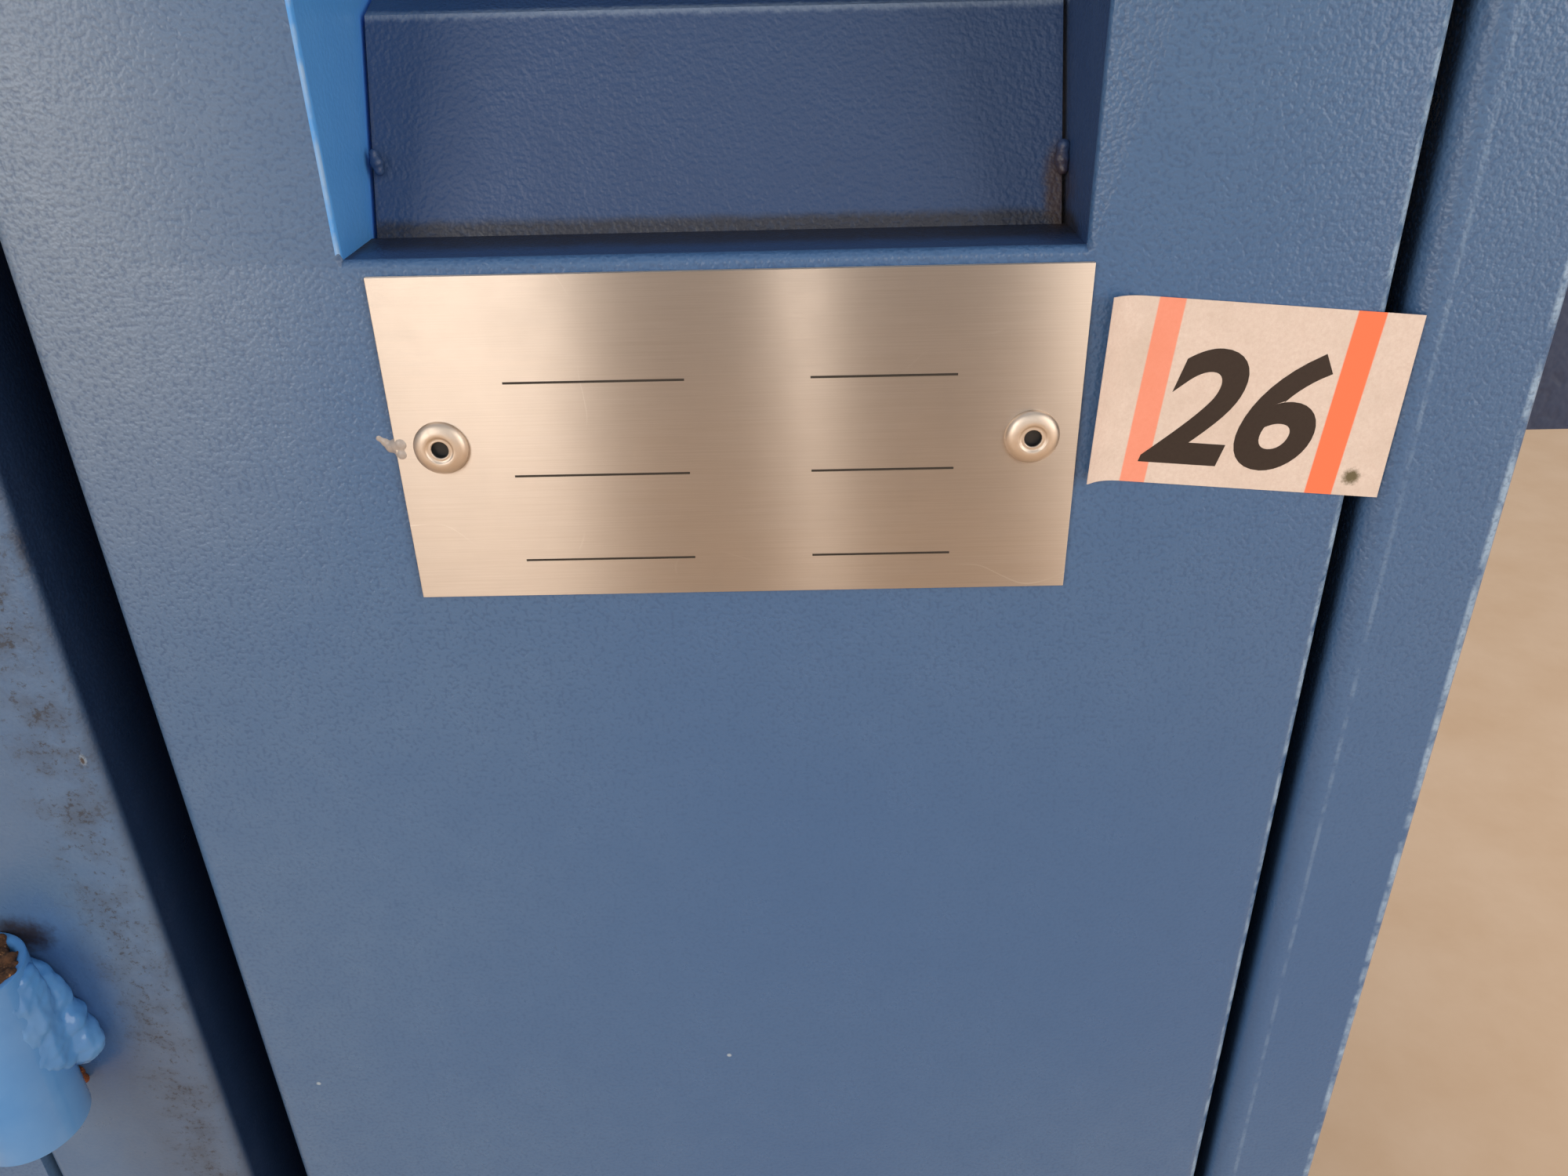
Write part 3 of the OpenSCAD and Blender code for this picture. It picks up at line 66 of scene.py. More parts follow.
# Hands: selecting, joining and finishing
def takeUp(piece):
    if bpy.context.object and bpy.context.object.mode != "OBJECT":
        bpy.ops.object.mode_set(mode="OBJECT")
    bpy.ops.object.select_all(action="DESELECT")
    piece.select_set(True)
    bpy.context.view_layer.objects.active = piece


def emptyChoice(kind):
    # nothing selected among the faces, edges or points, and back in object mode to mark some
    bpy.ops.object.mode_set(mode="EDIT")
    bpy.ops.mesh.select_mode(type=kind)
    bpy.ops.mesh.select_all(action="DESELECT")
    bpy.ops.object.mode_set(mode="OBJECT")


def chooseFaces(piece, wanted):
    # in edit mode: selects the faces that wanted(centre, normal) accepts
    emptyChoice("FACE")
    for face in piece.data.polygons:
        face.select = wanted(face.center, face.normal)
    bpy.ops.object.mode_set(mode="EDIT")


def chooseEdges(piece, wanted):
    # in edit mode: selects the edges that wanted(end, otherEnd) accepts
    emptyChoice("EDGE")
    points = piece.data.vertices
    for edge in piece.data.edges:
        edge.select = wanted(points[edge.vertices[0]].co, points[edge.vertices[1]].co)
    bpy.ops.object.mode_set(mode="EDIT")


def choosePoints(piece, wanted):
    # in edit mode: selects the points that wanted(place) accepts
    emptyChoice("VERT")
    for point in piece.data.vertices:
        point.select = wanted(point.co)
    bpy.ops.object.mode_set(mode="EDIT")


def applyModifier(piece, kind, **settings):
    takeUp(piece)
    step = piece.modifiers.new(kind.title(), kind)
    for name, value in settings.items():
        setattr(step, name, value)
    bpy.ops.object.modifier_apply(modifier=step.name)


def breakEdges(piece, widthMm, rows, sharpAngle=30):
    applyModifier(piece, "BEVEL", width=widthMm * mm, segments=rows, limit_method="ANGLE",
        angle_limit=math.radians(sharpAngle))


def applyPlace(piece):
    takeUp(piece)
    bpy.ops.object.transform_apply(location=True, rotation=True, scale=True)


def joinAll(parts, name):
    bpy.ops.object.select_all(action="DESELECT")
    for part in parts:
        part.select_set(True)
    bpy.context.view_layer.objects.active = parts[0]
    bpy.ops.object.join()
    piece = bpy.context.object
    piece.name = name
    return piece


def finishPiece(piece, material, node, smoothAngle=35, standsIn=False):
    # the piece takes the material given, rides with the node's body, and may stand in for the node, which is
    # then hidden
    applyPlace(piece)
    bpy.ops.object.shade_smooth_by_angle(angle=math.radians(smoothAngle))
    piece.data.materials.clear()
    piece.data.materials.append(material)
    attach(piece, bodyOf[node])
    if standsIn:
        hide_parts(node)
    return piece


def addCube(name, low, high):
    bpy.ops.object.select_all(action="DESELECT")
    low, high = Vector(low), Vector(high)
    bpy.ops.mesh.primitive_cube_add(size=1, location=(low + high) / 2)
    piece = bpy.context.object
    piece.name = name
    piece.scale = high - low
    applyPlace(piece)
    return piece


def addRound(name, centre, radius, length, axis, corners):
    bpy.ops.object.select_all(action="DESELECT")
    bpy.ops.mesh.primitive_cylinder_add(vertices=corners, radius=radius, depth=length, location=centre,
        rotation=layAlong[axis])
    piece = bpy.context.object
    piece.name = name
    applyPlace(piece)
    return piece


def turnProfile(name, points, centre, axis, corners):
    # as on a lathe: (radius, height) points in millimetres, joined by a line and spun about the axis
    bpy.ops.object.select_all(action="DESELECT")
    bpy.ops.mesh.primitive_plane_add(size=mm, location=(0, 0, 0))
    piece = bpy.context.object
    piece.name = name
    bpy.ops.object.mode_set(mode="EDIT")
    bpy.ops.mesh.select_mode(type="VERT")
    bpy.ops.mesh.select_all(action="SELECT")
    bpy.ops.mesh.merge(type="CENTER")
    bpy.ops.transform.translate(value=(points[0][0] * mm, 0, points[0][1] * mm))
    for (radius, height), (nextRadius, nextHeight) in zip(points, points[1:]):
        step = ((nextRadius - radius) * mm, 0, (nextHeight - height) * mm)
        bpy.ops.mesh.extrude_vertices_move(TRANSFORM_OT_translate={"value": step})
    bpy.ops.mesh.select_all(action="SELECT")
    bpy.ops.mesh.spin(steps=corners, angle=2 * math.pi, center=(0, 0, 0), axis=(0, 0, 1))
    bpy.ops.mesh.select_all(action="SELECT")
    bpy.ops.mesh.remove_doubles(threshold=0.004 * mm)
    bpy.ops.mesh.normals_make_consistent(inside=False)
    bpy.ops.object.mode_set(mode="OBJECT")
    piece.rotation_euler = layAlong[axis]
    piece.location = centre
    applyPlace(piece)
    return piece


# Materials: colours, nodes and the coats that they are laid on in
def linear(hexColour):
    parts = [int(hexColour[i:i + 2], 16) / 255 for i in (1, 3, 5)]
    return tuple(c / 12.92 if c <= 0.04045 else ((c + 0.055) / 1.055) ** 2.4 for c in parts) + (1.0,)


def fill(socket, value):
    # with another node's output or with a plain value
    if isinstance(value, bpy.types.NodeSocket):
        socket.id_data.links.new(value, socket)
    else:
        socket.default_value = value


def addNode(tree, kind, output=0, **given):
    # settings go by their own name, sockets by name (From_Min) or number (in0); gives back one output
    node = tree.nodes.new("ShaderNode" + kind)
    for key, value in given.items():
        if hasattr(node, key):
            setattr(node, key, value)
            continue
        numbered = key[:2] == "in" and key[2:].isdigit()
        fill(node.inputs[int(key[2:]) if numbered else key.replace("_", " ")], value)
    return node.outputs[output]


def newMaterial(name):
    # gives the material, the hand that adds its nodes, its shader's sockets and the Object coordinates
    material = bpy.data.materials.new(name)
    material.use_nodes = True
    add = partial(addNode, material.node_tree)
    return material, add, material.node_tree.nodes["Principled BSDF"].inputs, add("TexCoord", "Object")


def farFrom(add, value, at):
    # how far a coordinate, or a noise's value, lies from one value of it
    offset = add("Math", operation="SUBTRACT", in0=value, in1=at)
    return add("Math", operation="ABSOLUTE", in0=offset)


def dressSurface(add, surface, ground, coats, rough, height, strength, deepMm):
    # coats of (amount, colour) over the ground colour, its roughness, and a relief deepMm deep
    colour = linear(ground)
    for amount, coat in coats:
        colour = add("Mix", 2, data_type="RGBA", in0=amount, in6=colour, in7=linear(coat))
    fill(surface["Base Color"], colour)
    fill(surface["Roughness"], rough)
    fill(surface["Normal"], add("Bump", Strength=strength, Distance=deepMm * mm, Height=height))


# Polyester powder coat, sprayed and baked: a satin film with the skin of an orange in it
film = {"mottleMm": 9, "grimeMm": 14, "stippleMm": 1.5, "veilMm": 7, "knocksMm": 34, "knock": "#b4c3cf",
    "rubMm": 3.5, "rubbedMm": (3.4, 2.2), "slotShadeMm": 2.3, "fadeMm": 50, "peelDeepMm": 0.3}


def orangePeelPowderCoat(name, look):
    material, add, surface, place = newMaterial(name)
    clouds = add("TexNoise", Vector=place, Scale=perMetre / look["cloudMm"], Detail=3)
    mottle = add("TexNoise", Vector=place, Scale=perMetre / film["mottleMm"], Detail=4, Roughness=0.6)
    patchy = add("MapRange", Value=clouds, From_Min=0.35, From_Max=0.68)
    mottled = add("MapRange", Value=mottle, From_Min=0.35, From_Max=0.75, To_Max=0.35)
    coats = [(patchy, look["pale"]), (mottled, look["deep"])]
    # other paint, dirt or a chip, and also painted shade, highlights and reflections, each in a soft patch
    # round a point given in millimetres from the plate's corner
    for spot in look.get("spots", []):
        reach = add("VectorMath", operation="SUBTRACT", in0=place, in1=fromPlate(*spot["at"]))
        scaled = add("VectorMath", operation="DIVIDE", in0=reach, in1=[r * mm for r in spot["reach"]])
        away = add("VectorMath", "Value", operation="LENGTH", in0=scaled)
        ragged = add("TexNoise", Vector=place, Scale=perMetre / spot["ragMm"], Detail=5, Roughness=0.7)
        edge = add("Math", operation="MULTIPLY_ADD", in0=ragged, in1=spot["rag"], in2=away)
        amount = add("MapRange", Value=edge, From_Min=1.0 + spot["rag"] / 2,
            From_Max=spot["core"] + spot["rag"] / 2, To_Max=spot["strength"], interpolation_type="SMOOTHSTEP")
        coats.append((amount, spot["colour"]))
    # grime: faint all over, and thick in the creases that are named with their place and width
    ways = {way: add("SeparateXYZ", way, Vector=place) for way in "XYZ"}
    patches = add("TexNoise", Vector=place, Scale=perMetre / film["grimeMm"], Detail=6, Roughness=0.7)
    dirt = add("MapRange", Value=patches, From_Min=0.62, From_Max=0.80, To_Max=look["grime"])
    for crease in look.get("creases", []):
        far = farFrom(add, ways[crease["way"]], crease["at"])
        ragged = add("Math", operation="MULTIPLY_ADD", in0=patches, in1=crease["wide"] * 1.6 * mm, in2=far)
        lined = add("MapRange", Value=ragged, From_Min=crease["wide"] * 1.8 * mm,
            From_Max=crease["wide"] * 0.9 * mm, To_Max=crease["strength"], interpolation_type="SMOOTHSTEP")
        dirt = add("Math", operation="MAXIMUM", in0=dirt, in1=lined)
    # speckled soiling in a band along one upright edge
    if look.get("soiledEdge"):
        band = look["soiledEdge"]
        far = farFrom(add, ways["X"], band["x"] - band["inset"] * mm)
        nearness = add("MapRange", Value=far, From_Min=band["wide"] * mm, From_Max=0,
            interpolation_type="SMOOTHSTEP")
        stippled = add("TexNoise", Vector=place, Scale=perMetre / film["stippleMm"], Detail=6, Roughness=0.8)
        broken = add("TexNoise", Vector=place, Scale=perMetre / film["veilMm"], Detail=3, Roughness=0.6)
        veil = add("MapRange", Value=broken, From_Min=0.40, From_Max=0.66, To_Max=band["strength"] * 0.5)
        specks = add("Math", operation="MULTIPLY_ADD", in0=broken, in1=0.35, in2=stippled)
        specks = add("MapRange", Value=specks, From_Min=0.70, From_Max=0.78, To_Max=band["strength"])
        soil = add("Math", operation="MAXIMUM", in0=veil, in1=specks)
        soil = add("Math", operation="MULTIPLY", in0=soil, in1=nearness)
        dirt = add("Math", operation="MAXIMUM", in0=dirt, in1=soil)
    coats.append((dirt, look["dirt"]))
    # faces set back in a slot go near-black navy: painted shade where little light reaches
    if look.get("slotShadeFrom"):
        slot = add("MapRange", Value=ways["Y"], From_Min=look["slotShadeFrom"],
            From_Max=look["slotShadeFrom"] + film["slotShadeMm"] * mm, interpolation_type="SMOOTHSTEP")
        coats.append((slot, look["black"]))
    # small knocks through the film, a few centimetres apart
    knocks = add("TexVoronoi", "Distance", Vector=place, Scale=perMetre / film["knocksMm"])
    knock = add("MapRange", Value=knocks, From_Min=0.016, From_Max=0.009, To_Max=look["knocks"])
    coats.append((knock, film["knock"]))
    # edges lightened on the front only: partly wear that sleeves and tools rub bright, partly painted
    # highlight along the rims
    rub = add("TexNoise", Vector=place, Scale=perMetre / film["rubMm"], Detail=4)
    rub = add("MapRange", Value=rub, From_Min=0.36, From_Max=0.60, To_Max=look["scuffAndSheenAmount"])
    behind, before = [look["front"] + depth * mm for depth in film["rubbedMm"]]
    reached = add("MapRange", Value=ways["Y"], From_Min=behind, From_Max=before)
    rub = add("Math", operation="MULTIPLY", in0=rub, in1=reached)
    for way, at, wide, amount in look["scuffedAndLitEdges"]:
        far = farFrom(add, ways[way], at)
        edge = add("MapRange", Value=far, From_Min=wide * mm, From_Max=wide * 0.4 * mm)
        edge = add("Math", operation="MULTIPLY", in0=edge, in1=amount)
        rubbed = add("Math", operation="MULTIPLY", in0=edge, in1=rub)
        coats.append((rubbed, look["scuffAndSheenColour"]))
    # the peel: wrinkles peelMm apart on slower waves, flatter low on the cabinet; the pits are coloured
    # darker, painted shade of the relief
    wrinkles = add("TexNoise", Vector=place, Scale=perMetre / look["peelMm"], Detail=1, Roughness=0.4)
    waves = add("TexNoise", Vector=place, Scale=perMetre / look["peelMm"] / 3.2, Detail=0)
    height = add("Math", operation="MULTIPLY_ADD", in0=waves, in1=0.12, in2=wrinkles)
    crisp = add("MapRange", Value=ways["Z"], From_Min=look["smoothBelow"] - film["fadeMm"] * mm,
        From_Max=look["smoothBelow"], To_Min=0.32)
    height = add("Math", operation="SUBTRACT", in0=height, in1=0.5)
    height = add("Math", operation="MULTIPLY_ADD", in0=height, in1=crisp, in2=0.5)
    pitted = add("MapRange", Value=clouds, From_Min=0.3, From_Max=0.6, To_Min=look["pits"] * 0.4,
        To_Max=look["pits"])
    sunk = add("MapRange", Value=height, From_Min=0.53, From_Max=0.42, To_Max=pitted)
    coats.append((sunk, look["pit"]))
    satin = add("MapRange", Value=mottle, From_Min=0.3, From_Max=0.7, To_Min=look["roughness"] - 0.05,
        To_Max=look["roughness"] + 0.07)
    rough = add("Math", operation="MULTIPLY_ADD", in0=dirt, in1=0.35, in2=satin)
    dressSurface(add, surface, look["base"], coats, rough, height, look["peel"], film["peelDeepMm"])
    return material


panelLow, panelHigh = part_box("front_panel")
chuteLow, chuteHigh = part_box("sock_chute")
stileLow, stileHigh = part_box("front_stile")
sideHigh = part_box("right_side_sheet")[1]
chuteFit = {"sheet": 1.5, "aboveWindow": 4}
window = {"left": chuteLow.x + chuteFit["sheet"] * mm, "right": chuteHigh.x - chuteFit["sheet"] * mm,
    "floor": chuteLow.z + chuteFit["sheet"] * mm, "top": chuteHigh.z - chuteFit["aboveWindow"] * mm}
cabinetLook = {
    "base": "#456997", "pale": "#58779b", "deep": "#406491", "cloudMm": 260, "dirt": "#4a4742", "grime": 0.05,
    "knocks": 0.7, "scuffAndSheenColour": "#a6c2de", "scuffAndSheenAmount": 0.8, "roughness": 0.30, "peelMm": 0.68, "peel": 0.65,
    "pit": "#31507a", "pits": 0.45, "front": panelLow.y, "smoothBelow": plateHigh.z - 50 * mm,
    # the right edges of the panel and side sheet, and the side sheet's bend, are lightened: wear, and painted
    # highlight
    "scuffedAndLitEdges": [("X", panelHigh.x - 0.9 * mm, 0.9, 1.0), ("X", sideHigh.x - 0.9 * mm, 0.9, 0.9),
        ("X", panelHigh.x + 7.6 * mm, 0.5, 0.22)]}
# a pale patch on the panel's upper left: painted reflection
panelSheenPatch = {"at": (-48.0, 0, 20), "reach": (62, 60, 95), "core": 0.1, "ragMm": 50, "rag": 0.4,
    "strength": 0.66, "colour": "#8595a8"}
# a near-black strip down the gap between the panel and the side sheet: painted shade
gapShade = {"at": ((panelHigh.x - plateLow.x) / mm + 1.6, 7.0, 0), "reach": (3.4, 6.6, 4000), "core": 0.55,
    "ragMm": 6, "rag": 0.12, "strength": 0.92, "colour": "#0e1828"}
cabinetPaint = orangePeelPowderCoat("powderCoatBlue", {**cabinetLook, "spots": [panelSheenPatch, gapShade]})
weldOverspray = {"at": (-83.0, 0, -137), "reach": (13, 30, 34), "core": 0.35, "ragMm": 9, "rag": 0.5,
    "strength": 0.65, "colour": "#34609c"}
# a dark brown patch on the stile just behind the stub's mouth
socketDarkPatch = {"at": (-87.5, 0, -120.5), "reach": (9, 20, 6), "core": 0.3, "ragMm": 2.6, "rag": 0.9,
    "strength": 0.9, "colour": "#2a211c"}
lowerGrime = {"at": (-60.4, 0, -40.6), "reach": (2.4, 20, 7), "core": 0.2, "ragMm": 2, "rag": 1.2,
    "strength": 0.8, "colour": "#1d1a1b"}
paintChip = {"at": (-63.4, 0, -80.8), "reach": (0.75, 20, 1.5), "core": 0.5, "ragMm": 1.2, "rag": 0.8,
    "strength": 0.9, "colour": "#8ba0b8"}
chipHeart = {"at": (-63.5, 0, -80.9), "reach": (0.42, 20, 0.9), "core": 0.5, "ragMm": 1, "rag": 0.6,
    "strength": 0.9, "colour": "#3a2c24"}
lowerVeil = {"at": (-66.0, 0, -185), "reach": (30, 60, 70), "core": 0.3, "ragMm": 14, "rag": 0.6,
    "strength": 0.4, "colour": "#4a505c"}
# the stile's faces set back in the slot beside the panel go near-black navy: painted shade
stilePaint = orangePeelPowderCoat("powderCoatBlueHandled", {
    **cabinetLook, "base": "#4b6b96", "pale": "#5b7798", "dirt": "#34353a", "grime": 0.3, "peel": 0.5,
    "pits": 0.15, "slotShadeFrom": stileLow.y + 0.1 * mm, "black": "#1d2f4d", "scuffedAndLitEdges": [],
    "soiledEdge": {"x": stileHigh.x, "inset": 7.0, "wide": 13, "strength": 0.85},
    "spots": [lowerVeil, weldOverspray, socketDarkPatch, lowerGrime, paintChip, chipHeart]})
floorAt = (window["floor"] - plateHigh.z) / mm
floorGrime = {"at": (50, 13.5, floorAt + 0.2), "reach": (500, 10, 2.6), "core": 0.4, "ragMm": 5, "rag": 0.5,
    "strength": 0.8, "colour": "#2c2826"}
rustCorner = {"at": (97.4, 16.5, 6.5), "reach": (2.6, 8, 8.5), "core": 0.3, "ragMm": 3, "rag": 1.0,
    "strength": 0.8, "colour": "#4a3626"}
# a pale band along the upper bend of the chute's back: painted highlight
bendHighlight = {"at": (50, 26, floorAt + 29), "reach": (700, 1.6, 1.1), "core": 0.2, "ragMm": 1.6, "rag": 1.2,
    "strength": 0.6, "colour": "#7f93ad"}
# the chute's copy of the blue is darker all over: painted shade inside the recess, under its real grime and
# rust
chuteShadedPaint = orangePeelPowderCoat("powderCoatBlueShadedInside", {
    **cabinetLook, "base": "#334c76", "pale": "#3a537b", "deep": "#2c456e", "dirt": "#35302c", "grime": 0.15,
    "creases": [{"way": "X", "at": window["left"], "wide": 1.6, "strength": 0.5}],
    "spots": [floorGrime, rustCorner, bendHighlight],
    "roughness": 0.42, "peel": 0.6, "pits": 0.2, "scuffedAndLitEdges": []})
# the left cheek's copy of the blue is much brighter: painted light on the face that the lamps reach
cheekLitPaint = orangePeelPowderCoat("powderCoatBlueLitCheek", {
    **cabinetLook, "base": "#56a2f0", "pale": "#62aef6", "deep": "#4c94e2", "roughness": 0.34, "peel": 0.15,
    "pits": 0.0, "scuffAndSheenColour": "#a9c6e2", "scuffAndSheenAmount": 0.7, "scuffedAndLitEdges": [("Y", panelLow.y + 0.3 * mm, 0.45, 0.8)]})
# a pale upright band left of the stub's middle: painted reflection
stubReflectionBand = {"at": (-96, -14, -150), "reach": (7, 14, 38), "core": 0.2, "ragMm": 8, "rag": 0.4,
    "strength": 0.6, "colour": "#8fb0d4"}
socketSoil = {"at": (-100, -12, -176), "reach": (9, 18, 18), "core": 0.2, "ragMm": 6, "rag": 0.6,
    "strength": 0.5, "colour": "#605b59"}
socketPaint = orangePeelPowderCoat("enamelBlueBrushedOn", {
    **cabinetLook, "base": "#4f8ecf", "pale": "#82acd8", "deep": "#437fc2", "cloudMm": 60, "roughness": 0.14,
    "peelMm": 3.5, "peel": 0.3, "grime": 0.1, "pits": 0.0, "spots": [stubReflectionBand, socketSoil],
    "scuffedAndLitEdges": []})
boxPaint = orangePeelPowderCoat("powderCoatDarkBlue", {
    **cabinetLook, "base": "#2c3f60", "pale": "#34486a", "deep": "#263856", "scuffAndSheenColour": "#7d92ad", "knocks": 0.3,
    "pit": "#1d2b47", "peelMm": 1.8, "peel": 0.6, "scuffedAndLitEdges": []})


# Stainless steel sheet, brushed along its length: hairlines that smear reflections up and down
def brushedStainless(name, look):
    material, add, surface, place = newMaterial(name)
    # real hairlines are under 0.1 mm high; these are drawn 0.2 mm high so that they show
    along = add("Mapping", Vector=place, Scale=(0.012, 0.1, 1))
    lines = add("TexNoise", Vector=along, Scale=perMetre / look["lineMm"], Detail=3, Roughness=0.6)
    broad = add("TexNoise", Vector=along, Scale=perMetre / look["lineMm"] / 6, Detail=2)
    haze = add("TexNoise", Vector=place, Scale=perMetre / look["hazeMm"], Detail=5, Roughness=0.65)
    fine = add("MapRange", Value=lines, From_Min=0.3, From_Max=0.7)
    dulled = add("MapRange", Value=haze, From_Min=0.45, From_Max=0.75, To_Max=0.25)
    # scratches: thin curved lines where a slow noise crosses its middle value
    cuts = add("TexNoise", Vector=place, Scale=perMetre / look["scratchMm"], Detail=3, Roughness=0.3)
    scratch = add("MapRange", Value=farFrom(add, cuts, 0.5), From_Min=0.0016, From_Max=0.0008)
    where = add("TexNoise", Vector=place, Scale=perMetre / look["scratchedMm"], Detail=2)
    where = add("MapRange", Value=where, From_Min=0.54, From_Max=0.62)
    scratch = add("Math", operation="MULTIPLY", in0=scratch, in1=where)
    shiny = add("Math", operation="MULTIPLY", in0=scratch, in1=0.35)
    surface["Metallic"].default_value = 1.0
    rough = add("MapRange", Value=lines, From_Min=0.3, From_Max=0.7, To_Min=0.38, To_Max=0.43)
    rough = add("Math", operation="MULTIPLY_ADD", in0=dulled, in1=0.1, in2=rough)
    surface["Anisotropic"].default_value = 1.0
    surface["Anisotropic Rotation"].default_value = 0.25  # a quarter turn from the sheet's own U direction
    fill(surface["Tangent"], add("Tangent", direction_type="UV_MAP"))
    height = add("Math", operation="MULTIPLY_ADD", in0=broad, in1=0.12, in2=lines)
    height = add("Math", operation="SUBTRACT", in0=height, in1=scratch)
    coats = [(fine, look["land"]), (dulled, look["dull"]), (shiny, look["cut"])]
    dressSurface(add, surface, look["groove"], coats, rough, height, strength=0.05, deepMm=0.01)
    return material


# What years of hands and lint leave on metal and plastic: how far apart the patches lie, and their colour
handled = {"stainMm": 35, "cakedMm": 11, "toneMm": 40, "dustMm": 13, "wipedMm": 12, "lint": "#5a5146"}


# A metal as it leaves the shop: turned, ground or plated, with its tool marks and a little oil
def shopMetal(name, look):
    material, add, surface, place = newMaterial(name)
    drawn = add("Mapping", Vector=place, Scale=look["stretch"])
    marks = add("TexNoise", Vector=drawn, Scale=perMetre / look["markMm"], Detail=3, Roughness=0.6)
    stain = add("TexNoise", Vector=place, Scale=perMetre / handled["stainMm"], Detail=5, Roughness=0.65)
    stained = add("MapRange", Value=stain, From_Min=0.4, From_Max=0.75, To_Max=look["stain"])
    lint = add("TexNoise", Vector=place, Scale=perMetre / handled["cakedMm"], Detail=6, Roughness=0.7)
    caked = add("MapRange", Value=lint, From_Min=0.60, From_Max=0.78, To_Max=0.35)
    surface["Metallic"].default_value = 1.0
    rough = add("MapRange", Value=marks, From_Min=0.3, From_Max=0.7, To_Min=look["roughness"] - 0.06,
        To_Max=look["roughness"] + 0.08)
    coats = [(stained, look["oil"]), (caked, handled["lint"])]
    dressSurface(add, surface, look["base"], coats, rough, marks, look["depth"], deepMm=0.05)
    return material


# A skin without metal in it: enamel on castings, moulded plastic, phenolic, rubber, printing ink
def mouldedSkin(name, look):
    material, add, surface, place = newMaterial(name)
    grain = add("TexNoise", Vector=place, Scale=perMetre / look["grainMm"], Detail=3, Roughness=0.6)
    tone = add("TexNoise", Vector=place, Scale=perMetre / handled["toneMm"], Detail=4, Roughness=0.6)
    toned = add("MapRange", Value=tone, From_Min=0.35, From_Max=0.7, To_Max=0.5)
    lint = add("TexNoise", Vector=place, Scale=perMetre / handled["dustMm"], Detail=6, Roughness=0.7)
    dusty = add("MapRange", Value=lint, From_Min=0.58, From_Max=0.80, To_Max=look["dust"])
    rough = add("MapRange", Value=grain, From_Min=0.3, From_Max=0.7, To_Min=look["roughness"] - 0.04,
        To_Max=look["roughness"] + 0.08)
    coats = [(toned, look["shade"]), (dusty, look["dirt"])]
    dressSurface(add, surface, look["base"], coats, rough, grain, look["skin"], deepMm=0.1)
    return material


# Cast acrylic: clear, wiped often, so faintly streaked upwards
def clearAcrylic(name):
    material, add, surface, place = newMaterial(name)
    upright = add("Mapping", Vector=place, Scale=(1, 1, 0.3))
    wiped = add("TexNoise", Vector=upright, Scale=perMetre / handled["wipedMm"], Detail=4, Roughness=0.6)
    rough = add("MapRange", Value=wiped, From_Min=0.4, From_Max=0.8, To_Min=0.02, To_Max=0.12)
    fill(surface["Roughness"], rough)
    surface["Base Color"].default_value = linear("#e6f1f2")
    surface["Transmission Weight"].default_value = 1.0
    surface["IOR"].default_value = 1.49
    return material


# Uncoated paper with a soft tooth, printed with two slanting bars
def printedPaper(name, look):
    material, add, surface, place = newMaterial(name)
    fibre = add("TexNoise", Vector=place, Scale=perMetre / look["fibreMm"], Detail=3, Roughness=0.7)
    thumbed = add("TexNoise", Vector=place, Scale=perMetre / look["soilMm"], Detail=5, Roughness=0.65)
    mixed = add("MapRange", Value=fibre, From_Min=0.3, From_Max=0.7)
    soiled = add("MapRange", Value=thumbed, From_Min=0.5, From_Max=0.8, To_Max=0.5)
    coats = [(mixed, look["fibre"]), (soiled, look["soil"])]
    sheet = add("TexCoord", "UV")
    across = add("SeparateXYZ", "X", Vector=sheet)
    upward = add("SeparateXYZ", "Y", Vector=sheet)
    slant = add("Math", operation="MULTIPLY_ADD", in0=upward, in1=-look["slant"], in2=across)
    for centre, half, strength in look["bars"]:
        far = farFrom(add, slant, centre)
        inked = add("MapRange", Value=far, From_Min=half, From_Max=half - 0.004, To_Max=strength)
        coats.append((inked, look["ink"]))
    for fleck in look["flecks"]:
        reach = add("VectorMath", "Value", operation="DISTANCE", in0=place, in1=fromPlate(*fleck["at"]))
        ragged = add("Math", operation="MULTIPLY_ADD", in0=fibre, in1=fleck["rag"] * mm, in2=reach)
        spot = add("MapRange", Value=ragged, From_Min=fleck["size"] * 1.3 * mm,
            From_Max=fleck["size"] * 0.8 * mm)
        coats.append((spot, fleck["colour"]))
    dressSurface(add, surface, look["paper"], coats, look["roughness"], fibre, strength=0.15, deepMm=0.05)
    return material


# Dry grime and rust: crumbly, without any shine
def crumbly(name, dark, light, speck, crumbMm=1.4, speckMm=0.7):
    material, add, surface, place = newMaterial(name)
    grains = add("TexNoise", Vector=place, Scale=perMetre / crumbMm, Detail=6, Roughness=0.75)
    specks = add("TexNoise", Vector=place, Scale=perMetre / speckMm, Detail=3, Roughness=0.6)
    mixed = add("MapRange", Value=grains, From_Min=0.35, From_Max=0.65)
    speckled = add("MapRange", Value=specks, From_Min=0.62, From_Max=0.7)
    coats = [(mixed, light), (speckled, speck)]
    dressSurface(add, surface, dark, coats, 0.9, grains, strength=0.8, deepMm=0.4)
    return material


